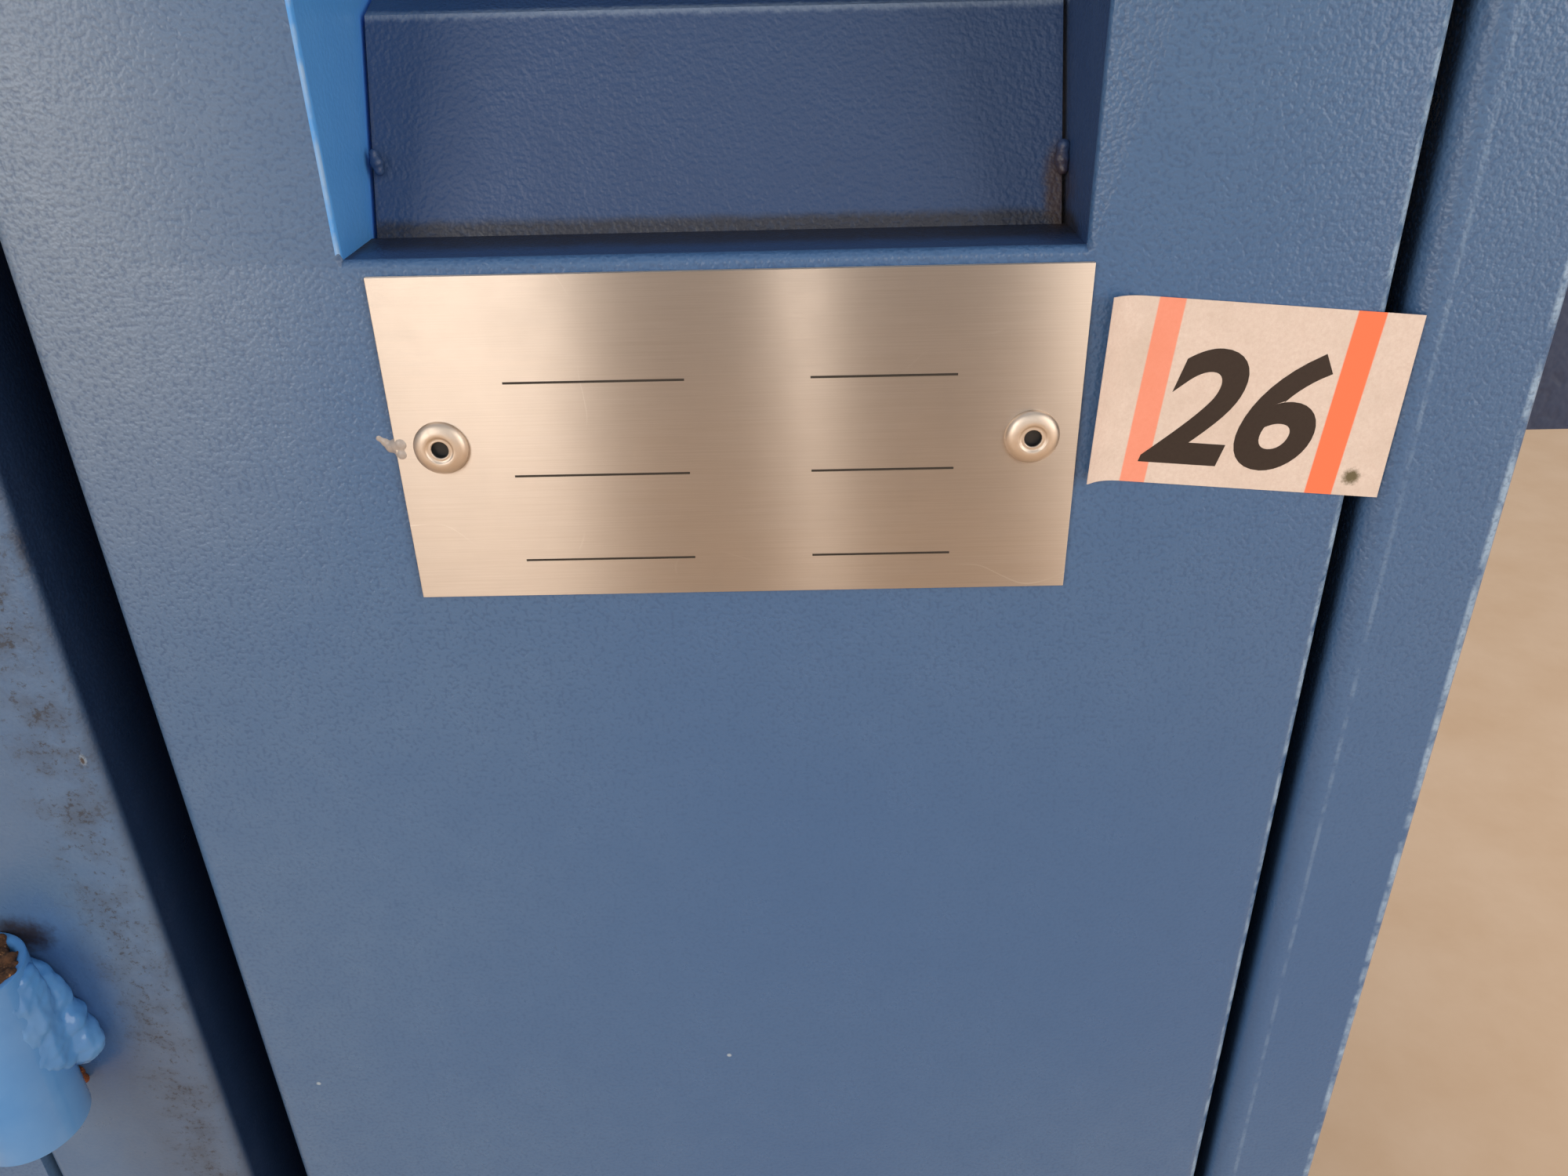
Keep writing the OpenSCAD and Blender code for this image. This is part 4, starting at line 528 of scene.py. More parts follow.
plateSteel = brushedStainless("stainlessBrushed", {
    "lineMm": 0.2, "hazeMm": 22, "scratchMm": 45, "scratchedMm": 18, "groove": "#d2c5b9", "land": "#dbcfc4",
    "dull": "#c4b7ab", "cut": "#f4efe8"})
brightSteel = shopMetal("toolSteelGround", {
    "base": "#b9b7b2", "oil": "#8f8779", "stain": 0.5, "markMm": 0.6, "stretch": (1, 1, 0.1),
    "roughness": 0.27, "depth": 0.15})
chromePlate = shopMetal("chromePlated", {
    "base": "#cfd0d2", "oil": "#b6b4b0", "stain": 0.3, "markMm": 3, "stretch": (1, 1, 1), "roughness": 0.12,
    "depth": 0.04})
turnedAlloy = shopMetal("aluminiumTurned", {
    "base": "#bfc1c4", "oil": "#9da0a3", "stain": 0.4, "markMm": 0.5, "stretch": (0.2, 0.2, 1),
    "roughness": 0.34, "depth": 0.2})
rivetAluminium = shopMetal("aluminiumRivet", {
    "base": "#ddd0c3", "oil": "#bfae9e", "stain": 0.5, "markMm": 0.8, "stretch": (1, 1, 1), "roughness": 0.44,
    "depth": 0.15})
castEnamel = mouldedSkin("machineEnamelOnCasting", {
    "base": "#8d9397", "shade": "#7d8388", "dirt": "#3a3732", "dust": 0.8, "grainMm": 2.2, "roughness": 0.34,
    "skin": 0.35})
motorPaint = mouldedSkin("motorEnamelBlack", {
    "base": "#1f2022", "shade": "#2c2d30", "dirt": "#4b4842", "dust": 0.5, "grainMm": 1.2, "roughness": 0.38,
    "skin": 0.25})
beltRubber = mouldedSkin("beltRubberWorn", {
    "base": "#161616", "shade": "#262524", "dirt": "#3f3b36", "dust": 0.4, "grainMm": 0.8, "roughness": 0.72,
    "skin": 0.5})
footRubber = mouldedSkin("footRubberMoulded", {
    "base": "#1c1c1c", "shade": "#2b2a29", "dirt": "#5c564e", "dust": 0.6, "grainMm": 1.0, "roughness": 0.66,
    "skin": 0.4})
caseAbs = mouldedSkin("absMouldedGrey", {
    "base": "#c9cac7", "shade": "#bdbeba", "dirt": "#6f6b64", "dust": 0.6, "grainMm": 0.7, "roughness": 0.46,
    "skin": 0.5})
wheelPhenolic = mouldedSkin("phenolicMoulded", {
    "base": "#121213", "shade": "#1b1b1c", "dirt": "#3a3631", "dust": 0.5, "grainMm": 2.5, "roughness": 0.2,
    "skin": 0.1})
selectorNylon = mouldedSkin("nylonMouldedBlack", {
    "base": "#1a1b1d", "shade": "#242528", "dirt": "#45413b", "dust": 0.5, "grainMm": 0.9, "roughness": 0.45,
    "skin": 0.3})
greenButton = mouldedSkin("buttonGreenMoulded", {
    "base": "#1f8a3f", "shade": "#1a7a37", "dirt": "#1d3a24", "dust": 0.5, "grainMm": 1.5, "roughness": 0.28,
    "skin": 0.1})
redButton = mouldedSkin("buttonRedMoulded", {
    "base": "#c22018", "shade": "#ad1a14", "dirt": "#4d1512", "dust": 0.5, "grainMm": 1.5, "roughness": 0.28,
    "skin": 0.1})
keyAbs = mouldedSkin("keyAbsMoulded", {
    "base": "#7c8187", "shade": "#73787e", "dirt": "#4a4743", "dust": 0.6, "grainMm": 0.6, "roughness": 0.4,
    "skin": 0.3})
screenGlass = mouldedSkin("screenGlassDark", {
    "base": "#0d1216", "shade": "#10161b", "dirt": "#1d2226", "dust": 0.3, "grainMm": 30, "roughness": 0.07,
    "skin": 0.0})
blackScrew = shopMetal("screwSteelBlackened", {
    "base": "#3a3a3c", "oil": "#2a2927", "stain": 0.5, "markMm": 0.8, "stretch": (1, 1, 1), "roughness": 0.34,
    "depth": 0.1})
numberInk = mouldedSkin("printedInkBrownBlack", {
    "base": "#2c1f18", "shade": "#35271f", "dirt": "#2c1f18", "dust": 0.0, "grainMm": 0.4, "roughness": 0.6,
    "skin": 0.1})
screenInk = mouldedSkin("screenInkBlack", {
    "base": "#2a2623", "shade": "#332f2b", "dirt": "#2a2623", "dust": 0.0, "grainMm": 0.4, "roughness": 0.4,
    "skin": 0.1})
guardAcrylic = clearAcrylic("acrylicCast")
labelPaper = printedPaper("paperUncoated", {
    "paper": "#dccabf", "fibre": "#e8d9cf", "soil": "#bfae9f", "ink": "#fb8057", "slant": 0.035,
    "fibreMm": 0.5, "soilMm": 16, "roughness": 0.75,
    "bars": [(0.18, 0.043, 0.72), (0.80, 0.047, 1.0)],
    "flecks": [{"at": (141.3, -0.3, -32.7), "size": 1.7, "rag": 1.3, "colour": "#6b6248"}]})
driedGlue = mouldedSkin("glueDriedYellowish", {
    "base": "#b3a9a2", "shade": "#969aa2", "dirt": "#8a7f75", "dust": 0.5, "grainMm": 0.8, "roughness": 0.24,
    "skin": 0.3})
cakedDirt = crumbly("cakedLintAndRust", "#2a1a10", "#6e4a30", "#a87b52")
rustCrumb = crumbly("rustFlake", "#3a1c0c", "#8a4a22", "#b0713c")
print("materials made")

slotMaterial = {
    "cabinet_blue": cabinetPaint, "box_blue": boxPaint, "plate_steel": plateSteel,
    "bright_steel": brightSteel, "chromed": chromePlate, "cast_grey": castEnamel, "motor_black": motorPaint,
    "alloy": turnedAlloy, "belt_rubber": beltRubber, "foot_rubber": footRubber, "panel_grey": caseAbs,
    "wheel_black": wheelPhenolic, "button_green": greenButton, "button_red": redButton,
    "selector_black": selectorNylon, "guard_clear": guardAcrylic, "label_paper": caseAbs}
ownPaint = {"front_stile": stilePaint, "sock_chute": chuteShadedPaint, "rod_socket": socketPaint}


def paintOf(node):
    return ownPaint.get(node, slotMaterial[slotOf[node]])


for node, part in frame["nodes"].items():
    part.data.materials.clear()
    part.data.materials.append(paintOf(node))
print("machine painted")

# The photographed corner of the cabinet
easing = {"mergeMm": 0.001, "flatAngle": 0.4, "sharpAngle": 40, "rows": 2, "smoothAngle": 32}


def softenedCopy(node, name, edgeMm):
    # the node's own mesh, merged, with its sharp edges broken as a file or a paint film breaks them
    piece = bpy.data.objects.new(name, frame["nodes"][node].data.copy())
    bpy.context.scene.collection.objects.link(piece)
    takeUp(piece)
    if piece.data.has_custom_normals:
        bpy.ops.mesh.customdata_custom_splitnormals_clear()
    bpy.ops.object.mode_set(mode="EDIT")
    bpy.ops.mesh.select_all(action="SELECT")
    bpy.ops.mesh.remove_doubles(threshold=easing["mergeMm"] * mm)
    bpy.ops.mesh.dissolve_limited(angle_limit=math.radians(easing["flatAngle"]))
    bpy.ops.object.mode_set(mode="OBJECT")
    breakEdges(piece, edgeMm, easing["rows"], easing["sharpAngle"])
    finishPiece(piece, paintOf(node), node, easing["smoothAngle"], True)
    applyModifier(piece, "WEIGHTED_NORMAL", keep_sharp=True)
    return piece


# Front panel: folded from one sheet, with the window pressed through it
panelSheet = {"bend": 2.6, "sheet": 1.5, "lip": 1.4, "windowEdge": 0.5, "cheekNear": 0.6, "cheekUp": 2,
    "cheekDeep": 1.6}
frontPanel = addCube("frontPanelSheet", panelLow, panelHigh)
bpy.ops.object.mode_set(mode="EDIT")
for side in ("left", "right"):
    bpy.ops.mesh.select_all(action="SELECT")
    bpy.ops.mesh.bisect(plane_co=(window[side], 0, 0), plane_no=(1, 0, 0))
for side in ("floor", "top"):
    bpy.ops.mesh.select_all(action="SELECT")
    bpy.ops.mesh.bisect(plane_co=(0, 0, window[side]), plane_no=(0, 0, 1))
chooseFaces(frontPanel, lambda c, n: n.y > 0.9 or (n.y < -0.9 and window["left"] < c.x < window["right"]
    and window["floor"] < c.z < window["top"]))
bpy.ops.mesh.delete(type="FACE")
chooseEdges(frontPanel, lambda a, b: max(a.y, b.y) < panelLow.y + tiny and (
    (abs(a.x - b.x) < tiny and (abs(a.x - panelLow.x) < tiny or abs(a.x - panelHigh.x) < tiny)) or
    (abs(a.z - b.z) < tiny and (abs(a.z - panelLow.z) < tiny or abs(a.z - panelHigh.z) < tiny))))
bpy.ops.mesh.bevel(offset=panelSheet["bend"] * mm, segments=5, affect="EDGES")
bpy.ops.object.mode_set(mode="OBJECT")
applyModifier(frontPanel, "SOLIDIFY", thickness=panelSheet["sheet"] * mm, offset=-1, use_even_offset=True)
inWindow = lambda p: (window["left"] - tiny < p.x < window["right"] + tiny
    and window["floor"] - tiny < p.z < window["top"] + tiny and p.y < panelLow.y + tiny)
chooseEdges(frontPanel, lambda a, b: inWindow(a) and inWindow(b) and max(a.z, b.z) < window["floor"] + tiny)
bpy.ops.mesh.bevel(offset=panelSheet["lip"] * mm, segments=5, affect="EDGES")
chooseEdges(frontPanel, lambda a, b: inWindow(a) and inWindow(b) and abs(a.x - b.x) < tiny
    and abs(a.z - b.z) > 20 * mm)
bpy.ops.mesh.bevel(offset=panelSheet["windowEdge"] * mm, segments=3, affect="EDGES")
bpy.ops.object.mode_set(mode="OBJECT")
finishPiece(frontPanel, cabinetPaint, "front_panel", 40, True)
frontPanel.data.materials.append(cheekLitPaint)
for face in frontPanel.data.polygons:
    # the window's left edge takes the cheek's brighter paint: painted light, as on the cheek behind it
    near = abs(face.center.x - window["left"]) < panelSheet["cheekNear"] * mm
    above = face.center.z > window["floor"] + panelSheet["cheekUp"] * mm
    if near and above and face.center.y < panelLow.y + panelSheet["cheekDeep"] * mm:
        face.material_index = 1

# The sheets round it keep their solids, with softened edges
softenedCopy("front_stile", "frontStileTube", 0.4)
softenedCopy("right_side_sheet", "rightSideSheetFolded", 0.35)
softenedCopy("left_side_sheet", "leftSideSheetFolded", 0.35)
chuteTray = softenedCopy("sock_chute", "sockChuteTray", 0.2)
chuteTray.data.materials.append(cheekLitPaint)
# the chute's left cheek takes the brighter paint: painted light
for face in chuteTray.data.polygons:
    if abs(face.normal.x) > 0.95 and face.center.x < (window["left"] + window["right"]) / 2:
        face.material_index = 1
softenedCopy("service_door", "serviceDoorTray", 0.45)
print("front sheets folded")

# The unseen castings, covers and sheets: how many millimetres the mould, file or paint takes off their edges
brokenEdges = {
    "control_box": ("controlBoxShell", 1.2), "control_box_door": ("controlBoxDoorPan", 1.0),
    "operator_panel": ("operatorPanelCase", 2.0), "bed_plate": ("bedPlateCasting", 1.0),
    "gear_housing": ("gearHousingCasting", 1.2), "gear_cover": ("gearCoverPlate", 0.6),
    "cam_ring": ("camRingTurned", 0.5), "dial_arm": ("dialArmCasting", 2.0),
    "dial_head": ("dialHeadTurned", 0.8), "arm_post": ("armPostCasting", 1.5),
    "drive_motor": ("driveMotorShell", 0.8), "stitch_motor": ("stitchMotorShell", 0.6),
    "selector_units": ("selectorUnitBlocks", 0.4), "motor_plate": ("motorPlateSheet", 0.5),
    "bottom_pan": ("bottomPanTray", 0.4), "top_frame": ("topFrameFolded", 0.4),
    "rear_panel": ("rearPanelSheet", 0.4), "fan_housing": ("fanHousingScroll", 0.8),
    "door_latch": ("doorLatchHandle", 0.5), "isolator_knob": ("isolatorKnobMoulded", 0.6),
    "handwheel": ("handwheelMoulded", 0.8), "panel_post": ("panelPostTube", 0.5),
    "levelling_feet": ("levellingFeetPads", 0.5)}
for node, (name, edgeMm) in brokenEdges.items():
    softenedCopy(node, name, edgeMm)
print("castings and covers eased")


def lump(name, balls, paint, node, voxelMm, roughMm, smoothing=4, lumpMm=2.2):
    # weld metal or caked dirt: overlapping balls merged to one skin and roughened
    bpy.ops.object.select_all(action="DESELECT")
    parts = []
    for place, radius in balls:
        bpy.ops.mesh.primitive_ico_sphere_add(subdivisions=3, radius=radius * mm, location=fromPlate(*place))
        parts.append(bpy.context.object)
    piece = joinAll(parts, name)
    applyPlace(piece)
    applyModifier(piece, "REMESH", mode="VOXEL", voxel_size=voxelMm * mm)
    applyModifier(piece, "SMOOTH", iterations=smoothing)
    bumps = bpy.data.textures.new(name + "Bumps", "CLOUDS")
    bumps.noise_scale = lumpMm * mm
    applyModifier(piece, "DISPLACE", texture=bumps, strength=roughMm * mm, mid_level=0.5,
        texture_coords="LOCAL")
    applyModifier(piece, "SMOOTH", iterations=2)
    return finishPiece(piece, paint, node, 60)


# Tack welds at the back corners of the chute
lump("chuteTackWeldLeft", [((-1.5, 17.4, 13.4), 0.8), ((-1.2, 17.2, 12.2), 1.0), ((-1.0, 17.1, 11.0), 0.7)],
    chuteShadedPaint, "sock_chute", voxelMm=0.2, roughMm=0.3, smoothing=16)
lump("chuteTackWeldRight", [((98.2, 17.5, 12.4), 1.1), ((98.0, 17.2, 10.6), 1.25), ((98.2, 16.8, 9.2), 0.9)],
    chuteShadedPaint, "sock_chute", voxelMm=0.25, roughMm=0.3, smoothing=16)

# Pipe stub: cut from tube, its mouth left rough, welded down its right side
socketLow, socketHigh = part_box("rod_socket")
socketSize = {"outer": 10.0, "inner": 8.0, "floor": 3.0, "rim": 0.25, "reamed": 1.4}
socketCentre = Vector(((socketLow.x + socketHigh.x) / 2, socketLow.y + socketSize["outer"] * mm, 0))
socketTall = socketHigh.z - socketLow.z
stub = addRound("rodSocketStub", (socketCentre.x, socketCentre.y, socketLow.z + socketTall / 2),
    socketSize["outer"] * mm, socketTall, "Z", 64)
chooseFaces(stub, lambda c, n: n.z > 0.9)
bpy.ops.mesh.inset(thickness=(socketSize["outer"] - socketSize["inner"]) * mm, depth=0)
bpy.ops.mesh.extrude_region_move(
    TRANSFORM_OT_translate={"value": (0, 0, socketSize["floor"] * mm - socketTall)})
insideRim = (socketSize["inner"] + 0.1) * mm
chooseEdges(stub, lambda a, b: min(a.z, b.z) > socketHigh.z - tiny and max(
    math.hypot(p.x - socketCentre.x, p.y - socketCentre.y) for p in (a, b)) < insideRim)
bpy.ops.mesh.bevel(offset=socketSize["reamed"] * mm, segments=4, affect="EDGES")  # the mouth is reamed out
bpy.ops.object.mode_set(mode="OBJECT")
breakEdges(stub, socketSize["rim"], 3, 50)
finishPiece(stub, socketPaint, "rod_socket", 40, True)

# Its weld: a bead of (x, y, z, radius) in millimetres from the plate's corner, and toes of (turn, radius)
# that run out round the pipe, lower with each degree of turn
weldRandom = random.Random(7)
stubAxis = ((socketCentre.x - plateLow.x) / mm, (socketCentre.y - plateHigh.y) / mm)
weldBead = {
    "path": [(-85.6, -3.0, -125.0, 1.8), (-84.4, -3.6, -128.0, 2.9), (-83.4, -3.8, -132.0, 3.5),
        (-82.8, -3.8, -137.0, 3.8), (-82.2, -3.6, -142.0, 3.9), (-81.6, -3.1, -146.0, 3.5),
        (-82.6, -2.6, -148.4, 2.4)],
    "toes": [(14, 2.5), (2, 2.0), (-10, 1.4), (-21, 1.0)], "ring": 9.2, "highest": -122.5, "rise": 5,
    "fall": 0.12, "wobble": 0.4, "full": 3.4}
beadBalls = []
for (x0, y0, z0, r0), (x1, y1, z1, r1) in zip(weldBead["path"], weldBead["path"][1:]):
    for part in (0, 0.25, 0.5, 0.75):
        wobble = weldRandom.uniform(-weldBead["wobble"], weldBead["wobble"])
        upBead = z0 + (z1 - z0) * part
        beadBalls.append(((x0 + (x1 - x0) * part + wobble, y0 + (y1 - y0) * part, upBead),
            r0 + (r1 - r0) * part + wobble * 0.5))
        for toeTurn, toeRadius in weldBead["toes"]:
            toe = math.radians(toeTurn)
            upToe = upBead + weldBead["rise"] - toeTurn * weldBead["fall"] + wobble
            beadBalls.append(((stubAxis[0] + weldBead["ring"] * math.cos(toe),
                stubAxis[1] + weldBead["ring"] * math.sin(toe), min(weldBead["highest"], upToe)),
                toeRadius * (0.55 + 0.45 * min(1, r0 / weldBead["full"]))))
lump("rodSocketWeld", beadBalls,
    socketPaint, "rod_socket", voxelMm=0.4, roughMm=1.3, smoothing=14, lumpMm=3.8)

# Caked lint and rust crumbs in the mouth of the stub, and one crumb at the end of the weld
crumbRandom = random.Random(11)
mouthZ = (socketHigh.z - plateHigh.z) / mm
cakedLint = {"crumbs": 110, "reach": 8.7, "sunk": 1.3, "pile": 0.9, "sizes": (0.7, 1.4)}
crumbs = []
for crumb in range(cakedLint["crumbs"]):
    turn, reach = crumbRandom.uniform(0, 2 * math.pi), cakedLint["reach"] * math.sqrt(crumbRandom.random())
    crumbs.append(((stubAxis[0] + reach * math.cos(turn), stubAxis[1] + reach * math.sin(turn),
        mouthZ - cakedLint["sunk"] + crumbRandom.uniform(0, cakedLint["pile"])),
        crumbRandom.uniform(*cakedLint["sizes"])))
lump("rodSocketCakedLint", crumbs, cakedDirt, "rod_socket", voxelMm=0.35, roughMm=0.8)
lump("rodSocketRustCrumb", [((-86.6, -1.2, -156.6), 1.3), ((-86.2, -0.9, -158.6), 1.1)],
    rustCrumb, "rod_socket", voxelMm=0.25, roughMm=0.5)
print("pipe stub welded on")

# Name plate: sheared stainless sheet, left bare but for its ruled lines
plateCut = {"edge": 0.12, "lineThick": 0.35, "lineProud": 0.02, "fieldLines": [(17, 43), (61, 82)],
    "fieldDrops": [15.2, 29.6, 43.6]}
namePlate = addCube("namePlateSheet", plateLow, plateHigh)
bpy.ops.object.mode_set(mode="EDIT")
bpy.ops.mesh.select_all(action="SELECT")
bpy.ops.uv.cube_project(cube_size=100 * mm)  # U runs along the sheet, for the hairlines
bpy.ops.object.mode_set(mode="OBJECT")
breakEdges(namePlate, plateCut["edge"], 2)
finishPiece(namePlate, plateSteel, "nameplate", 40, True)
rules = []
for start, end in plateCut["fieldLines"]:
    for drop in plateCut["fieldDrops"]:
        low = (plateLow.x + start * mm, plateLow.y - plateCut["lineProud"] * mm,
            plateHigh.z - (drop + plateCut["lineThick"]) * mm)
        high = (plateLow.x + end * mm, plateLow.y + tiny, plateHigh.z - drop * mm)
        rules.append(addCube("rule", low, high))
finishPiece(joinAll(rules, "namePlateRuledLines"), screenInk, "nameplate")

# Pop rivets: aluminium dome heads with the broken mandrel deep in the hole
rivetLow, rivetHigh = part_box("nameplate_rivets")
rivetShape = {"radius": 4.05, "sootAndShadeWide": 1.27, "sootAndShadeDeep": 0.95, "profile": [
    (4.05, 0), (4.05, 0.25), (3.9, 0.6), (3.55, 0.9), (3.1, 1.12), (2.6, 1.24), (2.15, 1.28), (2.0, 1.22),
    (1.9, 1.08), (1.55, 1.04), (1.42, 1.1), (1.32, 1.06), (1.25, 0.9), (1.2, 0.12), (0, 0.12)]}
rivetRow = (rivetLow.z + rivetHigh.z) / 2
holeCentres = (rivetLow.x + rivetShape["radius"] * mm, rivetHigh.x - rivetShape["radius"] * mm)
heads = [turnProfile("rivetHead", rivetShape["profile"], (centreX, plateLow.y, rivetRow), "Y", 64)
    for centreX in holeCentres]
rivets = finishPiece(joinAll(heads, "namePlatePopRivets"), rivetAluminium, "nameplate_rivets", 50, True)
rivets.data.materials.append(motorPaint)
for face in rivets.data.polygons:
    # inside the hole only soot and shadow show: its faces take black paint, soot and painted shade
    fromAxis = min(math.hypot(face.center.x - x, face.center.z - rivetRow) for x in holeCentres)
    if fromAxis < rivetShape["sootAndShadeWide"] * mm and face.center.y > plateLow.y - rivetShape["sootAndShadeDeep"] * mm:
        face.material_index = 1

# A smear of dried glue beside the left rivet, over the plate's edge
rivetDrop = (rivetRow - plateHigh.z) / mm
proud = (plateLow.y - plateHigh.y) / mm
lump("namePlateGlueSmear", [
    ((-2.4, 0.62, rivetDrop + 1.3), 0.8), ((-1.6, 0.7, rivetDrop + 0.7), 1.0), ((-0.8, 0.6, rivetDrop), 1.15),
    ((0.1, 0.3, rivetDrop + 0.2), 1.2), ((0.9, proud + 0.95, rivetDrop + 0.6), 1.3),
    ((0.8, proud + 0.9, rivetDrop - 1.0), 1.2)],
    driedGlue, "nameplate", voxelMm=0.18, roughMm=0.12, smoothing=5, lumpMm=1.6)
print("name plate riveted")

# Number label: matt paper, stuck over the seam, its left end lifting
label = {"width": 45.5, "height": 27.7, "turn": -5.2, "corner": (101.6, -0.25, -4.3), "thick": 0.13,
    "columns": 60, "rows": 24, "curlFrom": 6.0, "curlSteps": 8, "curlTurn": 5.5, "skew": 0.055,
    "number": "26", "digitSize": 24.0, "digitBold": 0.6, "digitLean": 0.22, "digitsAt": (0.48, 0.6),
    "inkProud": 0.02}
labelCorner = fromPlate(*label["corner"])
bpy.ops.object.select_all(action="DESELECT")
bpy.ops.mesh.primitive_grid_add(x_subdivisions=label["columns"], y_subdivisions=label["rows"], size=1)
numberLabel = bpy.context.object
numberLabel.name = "numberLabelPaper"
numberLabel.scale = (label["width"] * mm, label["height"] * mm, 1)
applyPlace(numberLabel)
bpy.ops.object.mode_set(mode="EDIT")
bpy.ops.mesh.select_all(action="SELECT")
bpy.ops.transform.translate(value=(label["width"] / 2 * mm, -label["height"] / 2 * mm, 0))
bpy.ops.object.mode_set(mode="OBJECT")
for step in range(label["curlSteps"]):
    # each pass turns what lies further left up a little more, as dry paper curls
    line = label["curlFrom"] * mm * (1 - step / label["curlSteps"])
    choosePoints(numberLabel, lambda p: p.x < line)
    bpy.ops.transform.rotate(value=-math.radians(label["curlTurn"]), orient_axis="Y",
        center_override=(line, 0, 0))
bpy.ops.object.mode_set(mode="OBJECT")
rowStep = label["height"] / label["rows"] * mm
for row in range(label["rows"] + 1):
    # the sheet was cut a little out of square
    choosePoints(numberLabel, lambda p: abs(p.y + row * rowStep) < rowStep / 4)
    bpy.ops.transform.translate(value=(label["skew"] * row * rowStep, 0, 0))
bpy.ops.object.mode_set(mode="OBJECT")


def stickOn(piece):
    # from the drawing board (X, Y) to the cabinet's front, turned as the label is
    takeUp(piece)
    upright = Matrix.Rotation(math.radians(-label["turn"]), 4, "Y") @ Matrix.Rotation(math.pi / 2, 4, "X")
    piece.matrix_world = Matrix.Translation(labelCorner) @ upright
    applyPlace(piece)


stickOn(numberLabel)
applyModifier(numberLabel, "SOLIDIFY", thickness=label["thick"] * mm, offset=-1)
finishPiece(numberLabel, labelPaper, "number_label", 60, True)
bpy.ops.object.select_all(action="DESELECT")
bpy.ops.object.text_add(location=(0, 0, 0))
digits = bpy.context.object
digits.name = "numberLabelDigits"
digits.data.body = label["number"]
digits.data.size = label["digitSize"] * mm
digits.data.shear = label["digitLean"]
digits.data.offset = label["digitBold"] * mm
digits.data.align_x = "CENTER"
digits.data.align_y = "CENTER"
digits.data.resolution_u = 8
takeUp(digits)
bpy.ops.object.convert(target="MESH")
acrossLabel, downLabel = label["digitsAt"]
digits.location = (label["width"] * acrossLabel * mm, -label["height"] * downLabel * mm,
    label["inkProud"] * mm)
applyPlace(digits)
stickOn(digits)
finishPiece(digits, numberInk, "number_label", 60)
print("number label stuck on")

# Operator panel: a dark screen in its bezel and blank keys, square to the sloping face
consoleLow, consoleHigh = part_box("operator_panel")
consoleFace = {"foot": 6, "slope": (23.2, 184), "screen": (-110, 62, 42, 166), "bezel": 5, "proud": 1.4,
    "seated": 0.5, "glassDrop": 0.6, "glassGap": 0.3, "glassThick": 0.5, "glassRaised": 0.15, "key": 15,
    "keyTall": 2.2, "keyEdge": 1.2, "bezelEdge": 0.5,
    "keyBlocks": [{"at": (62, 76), "columns": 3, "rows": 5, "pitch": 21},
        {"at": (-100, 38), "columns": 6, "rows": 1, "pitch": 24}]}
lean = math.degrees(math.atan2(*consoleFace["slope"]))
faceFoot = ((consoleLow.x + consoleHigh.x) / 2, consoleLow.y, consoleLow.z + consoleFace["foot"] * mm)
facePlace = Matrix.Translation(faceFoot) @ Matrix.Rotation(math.radians(90 - lean), 4, "X")


def onConsole(piece, material, smoothAngle=35):
    # from the drawing board (X across, Y up the face, Z out of it) to the panel's sloping face
    takeUp(piece)
    piece.matrix_world = facePlace @ piece.matrix_world
    return finishPiece(piece, material, "operator_panel", smoothAngle)


left, foot, rightSide, head = [edge * mm for edge in consoleFace["screen"]]
seat = -consoleFace["seated"] * mm
bezel = addCube("operatorScreenBezel", (left, foot, seat), (rightSide, head, consoleFace["proud"] * mm))
chooseFaces(bezel, lambda c, n: n.z > 0.9)
bpy.ops.mesh.inset(thickness=consoleFace["bezel"] * mm, depth=0)
bpy.ops.mesh.extrude_region_move(TRANSFORM_OT_translate={"value": (0, 0, -consoleFace["glassDrop"] * mm)})
bpy.ops.object.mode_set(mode="OBJECT")
breakEdges(bezel, consoleFace["bezelEdge"], 2, 50)
onConsole(bezel, selectorNylon)
inner = consoleFace["bezel"] * mm + consoleFace["glassGap"] * mm
glassFront = (consoleFace["proud"] - consoleFace["glassDrop"] + consoleFace["glassRaised"]) * mm
glassBack = glassFront - consoleFace["glassThick"] * mm
glass = addCube("operatorScreenGlass", (left + inner, foot + inner, glassBack),
    (rightSide - inner, head - inner, glassFront))
onConsole(glass, screenGlass)
half = consoleFace["key"] / 2 * mm
keyTop = consoleFace["keyTall"] * mm
keys = []
for block in consoleFace["keyBlocks"]:
    for row in range(block["rows"]):
        for column in range(block["columns"]):
            x = (block["at"][0] + column * block["pitch"]) * mm
            y = (block["at"][1] + row * block["pitch"]) * mm
            keys.append(addCube("key", (x - half, y - half, seat), (x + half, y + half, keyTop)))
keyPad = joinAll(keys, "operatorBlankKeys")
breakEdges(keyPad, consoleFace["keyEdge"], 3, 50)
onConsole(keyPad, keyAbs, 50)
print("operator panel dressed")


# a cap screw's measures, in radii of its head
capScrew = {"tall": 1.05, "headUp": 0.5, "edge": 0.13, "socketUp": 0.52, "socketWide": 0.52}


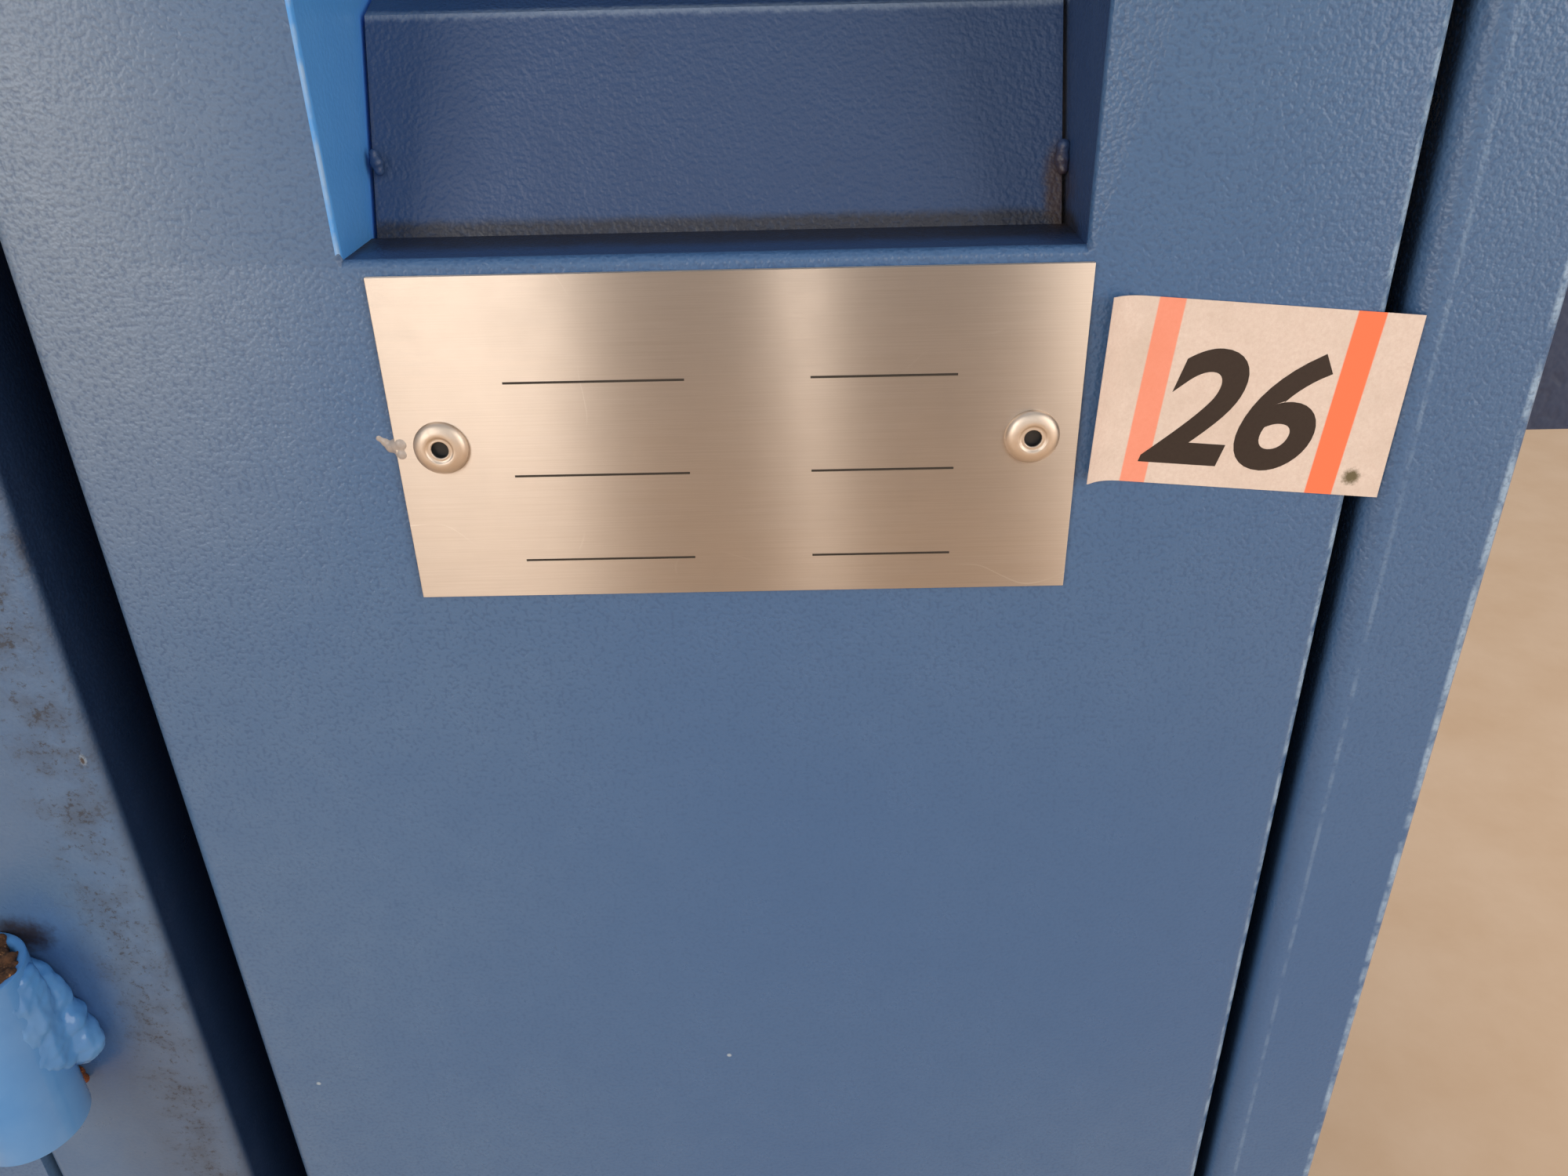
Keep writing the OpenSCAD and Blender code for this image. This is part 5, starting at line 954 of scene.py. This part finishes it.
def capScrews(name, places, axis, radiusMm, node):
    # socket head cap screws: (x, y, z) of each seat in millimetres, and the axis that they stand along
    out = Vector([1 if axis == way else 0 for way in "XYZ"])
    tall = radiusMm * capScrew["tall"] * mm
    heads, sockets = [], []
    for place in places:
        seat = Vector(place) * mm
        headAt = seat + out * radiusMm * capScrew["headUp"] * mm
        heads.append(addRound("screwHead", headAt, radiusMm * mm, tall, axis, 28))
        breakEdges(heads[-1], radiusMm * capScrew["edge"], 2)
        socketAt = seat + out * radiusMm * capScrew["socketUp"] * mm
        socketRadius = radiusMm * capScrew["socketWide"] * mm
        sockets.append(addRound("screwSocket", socketAt, socketRadius, tall, axis, 6))
    finishPiece(joinAll(heads, name), blackScrew, node, 40)
    finishPiece(joinAll(sockets, name + "Sockets"), motorPaint, node, 40)


coverScrews = {"ring": 125, "turns": (30, 100, 180, 260, 330), "radius": 4.5}
rearScrews = {"fromSide": 9, "fromEnd": 16, "radius": 4.0}
axisPlace = [(a + b) / 2 / mm for a, b in zip(*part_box("needle_cylinder"))]
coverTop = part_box("gear_cover")[1].z / mm
ringPlaces = []
for turn in coverScrews["turns"]:
    angle = math.radians(turn)
    ringPlaces.append((axisPlace[0] + coverScrews["ring"] * math.cos(angle),
        axisPlace[1] + coverScrews["ring"] * math.sin(angle), coverTop))
capScrews("gearCoverScrews", ringPlaces, "Z", coverScrews["radius"], "gear_cover")
rearLow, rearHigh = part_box("rear_panel")
columns = (rearLow.x / mm + rearScrews["fromSide"], rearHigh.x / mm - rearScrews["fromSide"])
rows = (rearLow.z / mm + rearScrews["fromEnd"], (rearLow.z + rearHigh.z) / 2 / mm,
    rearHigh.z / mm - rearScrews["fromEnd"])
rearPlaces = [(x, rearHigh.y / mm, z) for x in columns for z in rows]
capScrews("rearPanelScrews", rearPlaces, "Y", rearScrews["radius"], "rear_panel")
print("covers screwed on")

# Camera, at the close view of the photograph: its place from the plate's corner and the way it looks were
# solved from the plate, the window and the panel's edges
lensSettings = {"lens": 27.62, "sensor": 36.0, "place": (58.39, -165.43, 40.53), "clipStart": 0.01,
    "right": Vector((0.999778557, -0.000150015, -0.021043174)),
    "down": Vector((-0.018534087, -0.479860757, -0.877148871)),
    "ahead": Vector((-0.009966208, 0.877344648, -0.479757275))}
cameraData = bpy.data.cameras.new("camera")
cameraData.lens = lensSettings["lens"]
cameraData.sensor_width = lensSettings["sensor"]
cameraData.clip_start = lensSettings["clipStart"]
camera = bpy.data.objects.new("camera", cameraData)
bpy.context.scene.collection.objects.link(camera)
lookWay = Matrix((lensSettings["right"], -lensSettings["down"], -lensSettings["ahead"])).transposed().to_4x4()
camera.matrix_world = Matrix.Translation(fromPlate(*lensSettings["place"])) @ lookWay
bpy.context.scene.camera = camera

# Light and floor: soft boxes at a plain level
lamps = {
    "softBoxRight": {"place": (2.35, -2.2, 1.3), "aim": (0.2, -0.38, 0.55), "size": (1.8, 2.4), "watts": 40,
        "colour": "#fff4e8"},
    "softBoxLeft": {"place": (-1.4, -2.7, 1.25), "aim": (0.1, -0.38, 0.55), "size": (1.4, 2.4), "watts": 33,
        "colour": "#fff6ec"},
    "stripBox": {"place": (0.385, -2.7, 1.2), "aim": (0.2, -0.38, 0.55), "size": (0.1, 2.4), "watts": 4.5,
        "colour": "#fff6ec"},
    "ceiling": {"place": (0.0, 0.6, 3.6), "aim": (0.0, 0.0, 0.8), "size": (3.0, 3.0), "watts": 44,
        "colour": "#f4f7ff"}}
for name, lamp in lamps.items():
    data = bpy.data.lights.new(name, "AREA")
    data.shape = "RECTANGLE"
    data.size, data.size_y = lamp["size"]
    data.energy = lamp["watts"]
    data.color = linear(lamp["colour"])[:3]
    light = bpy.data.objects.new(name, data)
    bpy.context.scene.collection.objects.link(light)
    light.location = lamp["place"]
    light.rotation_mode = "QUATERNION"
    light.rotation_quaternion = (Vector(lamp["aim"]) - Vector(lamp["place"])).to_track_quat("-Z", "Y")

# the room's plain light, with white behind the machine for the camera alone
roomLook = {"colour": "#dfe3e8", "strength": 0.42}
room = bpy.data.worlds.new("room")
bpy.context.scene.world = room
room.use_nodes = True
sky = room.node_tree
dim = addNode(sky, "Background", Color=linear(roomLook["colour"]), Strength=roomLook["strength"])
white = addNode(sky, "Background", Color=(1, 1, 1, 1), Strength=1.0)
straight = addNode(sky, "LightPath", "Is Camera Ray")
backdrop = addNode(sky, "MixShader", in0=straight, in1=dim, in2=white)
fill(sky.nodes["World Output"].inputs["Surface"], backdrop)

# Concrete floor, trowelled in patches: warm and without shine
floorLook = {"size": 12, "base": "#eecba8", "patch": "#e6c09a", "patchMm": 90, "roughness": 0.7}
bpy.ops.object.select_all(action="DESELECT")
bpy.ops.mesh.primitive_plane_add(size=floorLook["size"], location=(0, 0, 0))
floor = bpy.context.object
floor.name = "floor"
concrete, add, surface, place = newMaterial("concreteTrowelled")
patch = add("TexNoise", Vector=place, Scale=perMetre / floorLook["patchMm"], Detail=6, Roughness=0.65)
patch = add("MapRange", Value=patch, From_Min=0.35, From_Max=0.7)
fill(surface["Base Color"], add("Mix", 2, data_type="RGBA", in0=patch, in6=linear(floorLook["base"]),
    in7=linear(floorLook["patch"])))
fill(surface["Roughness"], floorLook["roughness"])
floor.data.materials.append(concrete)
bpy.context.scene.view_settings.view_transform = "Standard"
print("camera, light and floor set")
